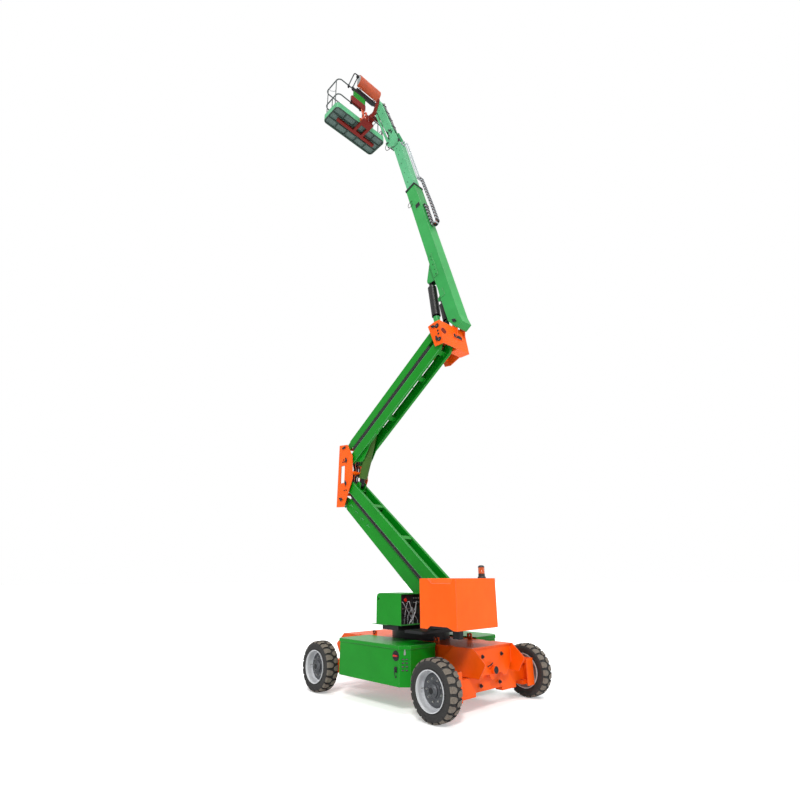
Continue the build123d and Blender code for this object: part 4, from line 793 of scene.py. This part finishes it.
# --- knuckle fittings
def knuckle_details():
    """Openings shown as dark plates of painted shade, bolts, painted shadow patches and frames on the plates
    of the upper and the middle knuckle.
    """
    x, z = chassis_point("upper_knuckle_pin")
    dark = Piece("upper_knuckle_shadow_plates", [BLACK, DARK_RED], "top", CHASSIS, 0)
    # the sloping rear plate: up along it and inwards
    run = Vector((86, 0, 486)).normalized()
    inward = Vector((run.z, 0, -run.x))

    def on_rear(along, y, depth):
        return tuple(Vector((x - 149, y, z - 130)) + run * along + inward * depth)

    def opening(y0, y1, a0, a1, cut):
        """A dark plate with cut corners, a little proud of the rear plate: painted shade inside an opening.
        """
        ring = [(a0, y0 + cut), (a0, y1 - cut), (a0 + cut, y1), (a1 - cut, y1), (a1, y1 - cut),
                (a1, y0 + cut), (a1 - cut, y0), (a0 + cut, y0)]
        dark.loft([[on_rear(a, y, d) for a, y in ring] for d in (-6, 4)])

    opening(-208, 24, 244, 326, 22)
    dark.index = 1
    opening(228, 356, 222, 338, 40)
    dark.done()
    rims = Piece("upper_knuckle_rims", ORANGE, "top", CHASSIS, 0.8)
    for y0, y1, a0, a1 in ((-216, -208, 236, 334), (24, 32, 236, 334), (-208, 24, 236, 244),
                           (-208, 24, 326, 334)):
        corners = ((a0, y0), (a1, y0), (a1, y1), (a0, y1))
        rims.loft([[on_rear(a, y, d) for a, y in corners] for d in (-11, 4)])
    rims.done()
    # discs on the near plate, two of them with a pin end
    bolts = Piece("upper_knuckle_discs_and_shadow_patches", [BLACK, HUB_GREY], "top", CHASSIS, 1)
    for along, r in ((405, 46), (300, 20), (235, 20), (120, 42)):
        c = on_rear(along, RISER_Y + 200, 74)
        bolts.cyl((c[0], c[1] - 1, c[2]), (c[0], c[1] + 4, c[2]), r, n=28)
    bolts.index = 1
    for along in (405, 120):
        c = on_rear(along, RISER_Y + 204, 74)
        bolts.turned((c[0] + 8, c[1], c[2] - 6), (0, 1, 0), [(19, 0), (19, 9), (15, 12), (0, 12)], 20)
    bolts.index = 0
    # painted shadow: dark patches by the cylinder pins, on the inner face of the far plate
    y = RISER_Y - 198
    for joint, u, v in (("lift_barrel_pin", 58, 34), ("level_barrel_pin", 44, 26)):
        px, pz = chassis_point(joint)
        px, pz = px - 11.1, pz - 16.5
        bolts.prism("y", [(px - u, pz - v * 0.3), (px - u * 0.5, pz - v), (px + u * 0.6, pz - v * 0.6),
                          (px + u, pz + v * 0.4), (px + u * 0.4, pz + v), (px - u * 0.7, pz + v * 0.7)],
                    y - 1, y + 3)
    bolts.done()
    mid = Piece("mid_knuckle_fittings", [BLACK, ORANGE], "mid", CHASSIS, 1)
    mx, mz = chassis_point("mid_knuckle_pin")
    for dx, dz in ((70, 440), (120, 440), (95, 485), (-20, -140), (40, -140), (140, -330)):
        mid.bolt((mx + dx, RISER_Y + 200, mz + dz), (0, 1, 0), 20, 12)
    mid.index = 1
    for dx, dz, r in ((-160, 186, 35), (215, 620, 30), (225, -170, 30)):
        for side in (1, -1):
            y = RISER_Y + side * 200
            mid.ring((mx + dx, y - side * 2, mz + dz), (mx + dx, y + side * 4, mz + dz), r + 8, r - 6, 28)
    # frame round the window
    for side in (1, -1):
        y0, y1 = sorted((RISER_Y + side * 186, RISER_Y + side * 204))
        for a0, a1, b0, b1 in ((45, 53, 9, 370), (179, 187, 9, 370), (53, 179, 9, 17), (53, 179, 362, 370)):
            mid.box(mx + a0, mx + a1, y0, y1, mz + b0, mz + b1)
    mid.done()


knuckle_details()


def riser_details():
    """Clips and bolts on the lower link, weld beads in paler green as painted highlight on the risers, and a
    lug on the upper one.
    """
    clips = Piece("link_clips", MINT, "link_low", LOW_LINK, 1)
    for s in (2840, 2620, 2400, 2180):
        clips.box(s - 50, s + 50, RISER_Y + 100, RISER_Y + 106, 20, 34)
        clips.box(s + 36, s + 50, RISER_Y + 100, RISER_Y + 106, -20, 34)
    clips.box(2960, 3010, RISER_Y + 100, RISER_Y + 112, -112, -40)
    clips.done()
    dark = Piece("link_fasteners", BLACK, "link_low", LOW_LINK, 1)
    for s, h in ((3040, 40), (3000, -10), (2950, 60), (120, 0), (200, 30)):
        dark.bolt((s, RISER_Y + 100, h), (0, 1, 0), 22, 12)
    dark.done()
    # weld beads sunk into the corners of the beams, in paler green as a painted highlight along the lit edges
    for name, body, base, low, high in (("lower_riser_lit_seams", "riser_low", LOWER, -100, 100),
                                        ("upper_riser_lit_seams", "riser_high", UPPER, -40, 160)):
        lit_seam = Piece(name, MINT, body, base, 0)
        for y in (RISER_Y + 152, RISER_Y - 152):
            for h in (low + 3, high - 3):
                lit_seam.tube([(120, y, h), (2970, y, h)], 4.6, 5, 8)
        lit_seam.done()
    lugs = Piece("upper_riser_lugs", GREEN, "riser_high", UPPER, 2)
    lugs.prism("y", [(900, 120), (1010, 120), (980, 215), (930, 225)], RISER_Y + 150, RISER_Y + 162)
    lugs.done()


riser_details()


# --- boom fittings
def boom_details():
    """Window, weld beads, bolts and hoses on the outer boom."""
    half, high = 130, 135
    near = BOOM_Y + half
    trim = Piece("boom_fittings", [BLACK, MINT, HOSE], "boom", BOOM, 1)
    # service window near the mouth, its dark inside painted as a black plate of shade, with its frame
    s0, s1, h0, h1, edge = 3310, 3430, -16, 100, 10
    trim.prism("y", [(s0, h0), (s1, h0), (s1, h1), (s0, h1)], near - 1, near + 3)
    trim.index = 1
    for a0, a1, b0, b1 in ((s0 - edge, s1 + edge, h0 - edge, h0), (s0 - edge, s1 + edge, h1, h1 + edge),
                           (s0 - edge, s0, h0, h1), (s1, s1 + edge, h0, h1)):
        trim.box(a0, a1, near - 1, near + 5, b0, b1)
    # seams on the outline of the doubler plates and along the boom's corners
    for side in (1, -1):
        y = BOOM_Y + side * (half + 7)
        trim.tube([(1252, y, -126), (1246, y, -12), (1862, y, -22), (1806, y, -126)], 5, 20, 8)
        trim.tube([(692, y, -126), (692, y, -12), (876, y, -32), (848, y, -126)], 5, 20, 8)
        y = BOOM_Y + side * (half - 3)
        for h in (high - 3, 3 - high):
            trim.tube([(260, y, h), (4020, y, h)], 5, 5, 8)
    trim.index = 0
    for s in (1290, 1420, 1560, 1700, 1790):
        trim.bolt((s, near + 8, -60), (0, 1, 0), 15, 8)
    # hose loop beside the window, and a clamped hose under the root
    trim.index = 2
    trim.tube([(3640, near + 2, -60), (3630, near + 26, -100), (3600, near + 22, -190),
               (3510, near + 16, -196), (3500, near + 18, -120), (3560, near + 2, -70)], 6, 40)
    y = BOOM_Y + 60
    trim.tube([(330, y, -100), (700, y, -152), (1000, y, -158), (1160, y, -150)], 13, 60)
    trim.index = 0
    for s in (420, 820, 1080):
        trim.box(s - 14, s + 14, y - 20, y + 20, -172, -134)
    # bolts of the collar
    for k in range(4):
        for side in (1, -1):
            trim.bolt((4043, BOOM_Y + side * 142, -84 + 56 * k), (0, side, 0), 15, 7)
    trim.done()


boom_details()


def chain():
    """Energy chain as separate links along its run, in place of the plain CAD loop."""
    foot, start, end = 660, 2690, 4200
    low, high, thick, half = 150, 325, 34, 55
    r = (high - low - thick) / 2
    turn, upper = math.pi * r, end - start
    total = foot + turn + upper
    count = 46
    pitch = total / count
    # where the upper run begins to sag, and how far it comes down
    sag_start, sag = 500, 25

    def place(u):
        """Place along the boom and height at u along the chain, and its direction there."""
        if u < foot:
            return (start + foot - u, low + thick / 2), (-1, 0)
        u -= foot
        if u < turn:
            c, s = math.cos(u / r), math.sin(u / r)
            return (start - r * s, low + thick / 2 + r - r * c), (-c, s)
        u -= turn
        drop = 0 if u < sag_start else sag * (u - sag_start) / (upper - sag_start)
        return (start + u, high - thick / 2 - drop), (1, 0)

    links = Piece("chain_links", [PLASTIC, TUBE_WHITE], "boom", BOOM, 1)
    for k in range(count):
        (x, z), (dx, dz) = place((k + 0.5) * pitch)

        def flat(outline):
            return [(x + dx * p - dz * q, z + dz * p + dx * q) for p, q in outline]

        odd = k % 2
        links.index = odd
        a, h = pitch * 0.5, thick / 2 - (0.5 if odd else 3)
        cheek = [(-a - 7, -h * 0.5), (-a + 2, -h), (a - 2, -h), (a + 7, -h * 0.5), (a + 7, h * 0.5),
                 (a - 2, h), (-a + 2, h), (-a - 7, h * 0.5)]
        for side in (1, -1):
            y0, y1 = sorted((BOOM_Y + side * (half - (7 if odd else 12)), BOOM_Y + side * half))
            links.prism("y", flat(cheek), y0, y1)
        for q in (h - 4, -h):
            bar = [(-a * 0.45, q), (a * 0.45, q), (a * 0.45, q + 4), (-a * 0.45, q + 4)]
            links.prism("y", flat(bar), BOOM_Y - half + 6, BOOM_Y + half - 6)
    # bracket that holds the foot
    links.index = 0
    links.box(start + 562, start + 658, BOOM_Y - 62, BOOM_Y + 62, 136, low)
    links.box(start + 600, start + 640, BOOM_Y - 65, BOOM_Y + 65, low, 186)
    links.done(["cable_carrier"])
    hoses = Piece("chain_hoses", [HOSE, HOSE_ORANGE], "boom", BOOM, 0)
    steps = 40
    run = [place(k * total / steps)[0] for k in range(steps + 1)]
    for y in (-34, -18, 0, 16, 34):
        hoses.index = 1 if y == 16 else 0
        hoses.tube([(s, BOOM_Y + y, h) for s, h in run], 7.5, 12, 8, 2)
    hoses.done()


chain()


# --- sleeves and tip
def sleeves():
    """Ribbed sleeves that hang from the rods of the lift and levelling cylinders."""
    step = 22
    for name, body, base, start, end, r in (("lift_sleeve", "lift_piston", LIFT, 965, 1665, 90),
                                            ("level_sleeve", "level_piston", LEVEL, 680, 1065, 66)):
        sleeve = Piece(name, HOSE, body, base, 0, 25)
        profile = [(r - 6, start), (r, start)]
        for k in range(int((end - start) / step)):
            a = start + k * step
            profile += [(r, a + 5), (r - 5, a + 11), (r, a + 17)]
        profile += [(r, end), (40, end + 12), (40, end + 8), (r - 6, end - 4), (r - 6, start)]
        sleeve.turned((0, BOOM_Y, 0), (1, 0, 0), profile, 32)
        sleeve.done()


sleeves()


def tip_details():
    """Pins, hoses and bolts on the boom's tip, the jib and the fly section."""
    near = BOOM_Y + 126
    tip = Piece("tip_fittings", BLACK, "tip", CHASSIS, 1)
    for joint, r, turn, sides in (("jib_lift", 30, 30, (1, -1)), ("jib_barrel_pin", 20, 60, (1, -1)),
                                  ("jib_link_foot", 25, 10, (1,))):
        x, z = chassis_point(joint)
        for side in sides:
            pin_end(tip, x, z, BOOM_Y + side * 134, side, r, turn)
    jx, jz = chassis_point("jib_lift")
    # dark plates on the near plate as painted shade of its openings, and a block under the pin
    for outline in ([(-96, -70), (-30, -150), (-10, -60)], [(20, -150), (60, -200), (84, -150), (44, -110)]):
        tip.prism("y", [(jx + dx, jz + dz) for dx, dz in outline], near, near + 5)
    tip.box(jx - 190, jx - 168, BOOM_Y - 60, BOOM_Y + 60, jz - 420, jz - 330)
    tip.done()
    hoses = Piece("tip_hoses", HOSE, "tip", CHASSIS, 0)
    for k, across in enumerate((-56, -37, 37, 56)):
        y = BOOM_Y + across
        hoses.tube([(jx - 70, y, jz - 500), (jx + 90 + 12 * k, y, jz - 470), (jx + 160 + 8 * k, y, jz - 300),
                    (jx + 60, y, jz - 180), (jx + 30, y, jz - 60)], 10, 90)
    hoses.tube([(jx + dx, near - inset, jz - down) for dx, inset, down in
                ((110, 20, 300), (200, 8, 420), (150, 10, 560), (20, 6, 600))], 8, 90)
    hoses.done()
    jib = Piece("jib_fittings", [BLACK, HOSE], "jib_arm", JIB, 1)
    for s, h in ((180, -60), (420, -20), (700, -100), (980, -20), (1250, -80), (1440, 0)):
        jib.bolt((s, BOOM_Y + 90, h), (0, 1, 0), 15, 8)
    jib.index = 1
    for k in range(4):
        y = BOOM_Y - 60 + 26 * k
        jib.tube([(110, y, 62), (800, y, 70), (1500, y, 62)], 9, 80)
    jib.index = 0
    for s in (250, 620, 1000, 1380):
        jib.box(s - 12, s + 12, BOOM_Y - 80, BOOM_Y + 40, 54, 82)
    jib.done()
    fly = Piece("fly_fasteners", BLACK, "fly", BOOM, 1)
    for s in (4330, 4700, 5070, 5440, 5700):
        fly.bolt((s, BOOM_Y + 106, -30), (0, 1, 0), 14, 7)
        fly.bolt((s + 90, BOOM_Y + 106, 40), (0, 1, 0), 11, 6)
    fly.done()


tip_details()


# --- basket
(FLOOR_X0, FLOOR_Y0, FLOOR_Z0), (FLOOR_X1, FLOOR_Y1, _) = node_box("platform_floor")
RAIL_TOP = FLOOR_Z0 + 1090
# rails stand this far inside the floor's edge
RAIL_INSET = 29
REAR_RAIL = FLOOR_X0 + RAIL_INSET


def guard_loop():
    """Bent tube beside the console, with its clamp and its end fitting."""
    x, high = REAR_RAIL, RAIL_TOP + 240
    loop = Piece("basket_guard_loop", BLACK, "platform", CHASSIS, 1)
    loop.tube([(x, 490, RAIL_TOP + 14), (x - 255, 490, high), (x - 255, 360, high), (x, 360, RAIL_TOP + 14)],
              15.5, 50)
    loop.box(x - 268, x - 200, 330, 392, high - 35, high + 22)
    loop.box(x - 24, x + 24, 470, 512, RAIL_TOP - 70, RAIL_TOP + 22)
    loop.done()


def operator_panel():
    """Green panel, dark red document box and the black box with its switches."""
    x = FLOOR_X0
    panel = Piece("console_green_panel", [GREEN, BLACK, DARK_RED], "platform", CHASSIS, 4)

    def slab(outline, x0, x1):
        panel.prism("x", [(y, FLOOR_Z0 + z) for y, z in outline], x0, x1)

    slab([(-44, 715), (-24, 700), (350, 700), (370, 720), (370, 915), (-44, 915)], x - 62, x - 30)
    panel.index = 2
    slab([(-60, 530), (-30, 492), (400, 492), (434, 530), (434, 690), (400, 712), (-30, 712), (-60, 690)],
         x - 59, x - 6)
    panel.index = 1
    slab([(-70, 915), (430, 915), (430, 1034), (-70, 1034)], x - 64, x - 30)
    for y, z in ((-20, 740), (340, 760), (-20, 890), (340, 890), (160, 800)):
        panel.bolt((x - 62, y, FLOOR_Z0 + z), (-1, 0, 0), 12, 6)
    # front of the operator's box between the rail and its cover, and a row of switches
    slab([(-415, 1036), (262, 1036), (262, 1112), (-415, 1112)], x - 74, x - 68)
    switch = [(14, 0), (14, 6), (5, 8), (4, 34), (11, 38), (11, 46), (0, 50)]
    for y in range(-380, 250, 70):
        panel.turned((x - 30, y, FLOOR_Z0 + 1122), (0, 0, 1), switch, 16)
    panel.done()


def cover_ends():
    """Pale half-round ends of the cover with their rolled rims."""
    (x0, y0, _), (_, y1, z1) = node_box("console_cover")
    r = 187
    x, z = x0 + r, z1 - r

    def arc(radius):
        return [(x - radius * math.sin(math.pi * k / 20), z - radius * math.cos(math.pi * k / 20))
                for k in range(21)]

    cap = Piece("cover_end", [PALE_GREY, COVER], "cover", CHASSIS, 0.5)
    for y, side in ((y1, 1), (y0, -1)):
        cap.index = 0
        cap.prism("y", arc(r - 22), *sorted((y - side, y + side * 3)))
        cap.index = 1
        cap.tube([(u, y, w) for u, w in arc(r - 8)], 6, 8, 8, 1)
    cap.done()


def rail_loop():
    """Thin bar that hangs from the left rail."""
    strap = Piece("rail_loop", PALE_GREY, "platform", CHASSIS, 0)
    y = FLOOR_Y1 - RAIL_INSET
    strap.tube([(REAR_RAIL + dx, y - inset, RAIL_TOP - down) for dx, inset, down in
                ((420, 0, 0), (440, 18, 70), (200, 18, 330), (110, 16, 330), (150, 16, 230))], 8, 70)
    strap.done()


def basket_hoses():
    """Loose bundle of orange hoses from the console down to the floor."""
    x, z = FLOOR_X0, FLOOR_Z0
    hoses = Piece("basket_hoses", HOSE_ORANGE, "platform", CHASSIS, 0)
    rnd = random.Random(11)
    for _ in range(9):
        top, foot = rnd.uniform(-120, 120), rnd.uniform(-100, 110)
        bow = rnd.uniform(-60, 60)
        hoses.tube([(x - 40, top, z + 490), (x - 70 - bow, top + bow, z + 330),
                    (x - 60 + bow, (top + foot) / 2, z + 190), (x - 90, foot + 30, z + 60),
                    (x - 60, foot, z + 2)], 12.5, 90)
    hoses.done()


def floor_edge():
    """Black bead round the lower edge of the floor."""
    edge = Piece("floor_edge", BLACK, "platform", CHASSIS, 0)
    corner, inset = 110, 5
    r = corner - inset
    x0, x1, y0, y1 = FLOOR_X0 + corner, FLOOR_X1 - corner, FLOOR_Y0 + corner, FLOOR_Y1 - corner
    points = []
    for x, y, first in ((x1, y1, 0), (x0, y1, 90), (x0, y0, 180), (x1, y0, 270)):
        for t in [math.radians(first + 15 * k) for k in range(7)]:
            points.append((x + r * math.cos(t), y + r * math.sin(t), FLOOR_Z0 + 6))
    edge.tube(points + [points[0]], 4.9, 5, 8, 1)
    edge.done()


def rail_clamps():
    clamps = Piece("rail_clamps", ZINC, "platform", CHASSIS, 1)
    for y in (-600, -20):
        clamps.box(REAR_RAIL - 16, REAR_RAIL + 16, y - 22, y + 22, FLOOR_Z0 + 60, FLOOR_Z0 + 100)
        clamps.bolt((REAR_RAIL - 16, y, FLOOR_Z0 + 80), (-1, 0, 0), 12, 7)
    clamps.done()


guard_loop()
operator_panel()
cover_ends()
rail_loop()
basket_hoses()
floor_edge()
rail_clamps()
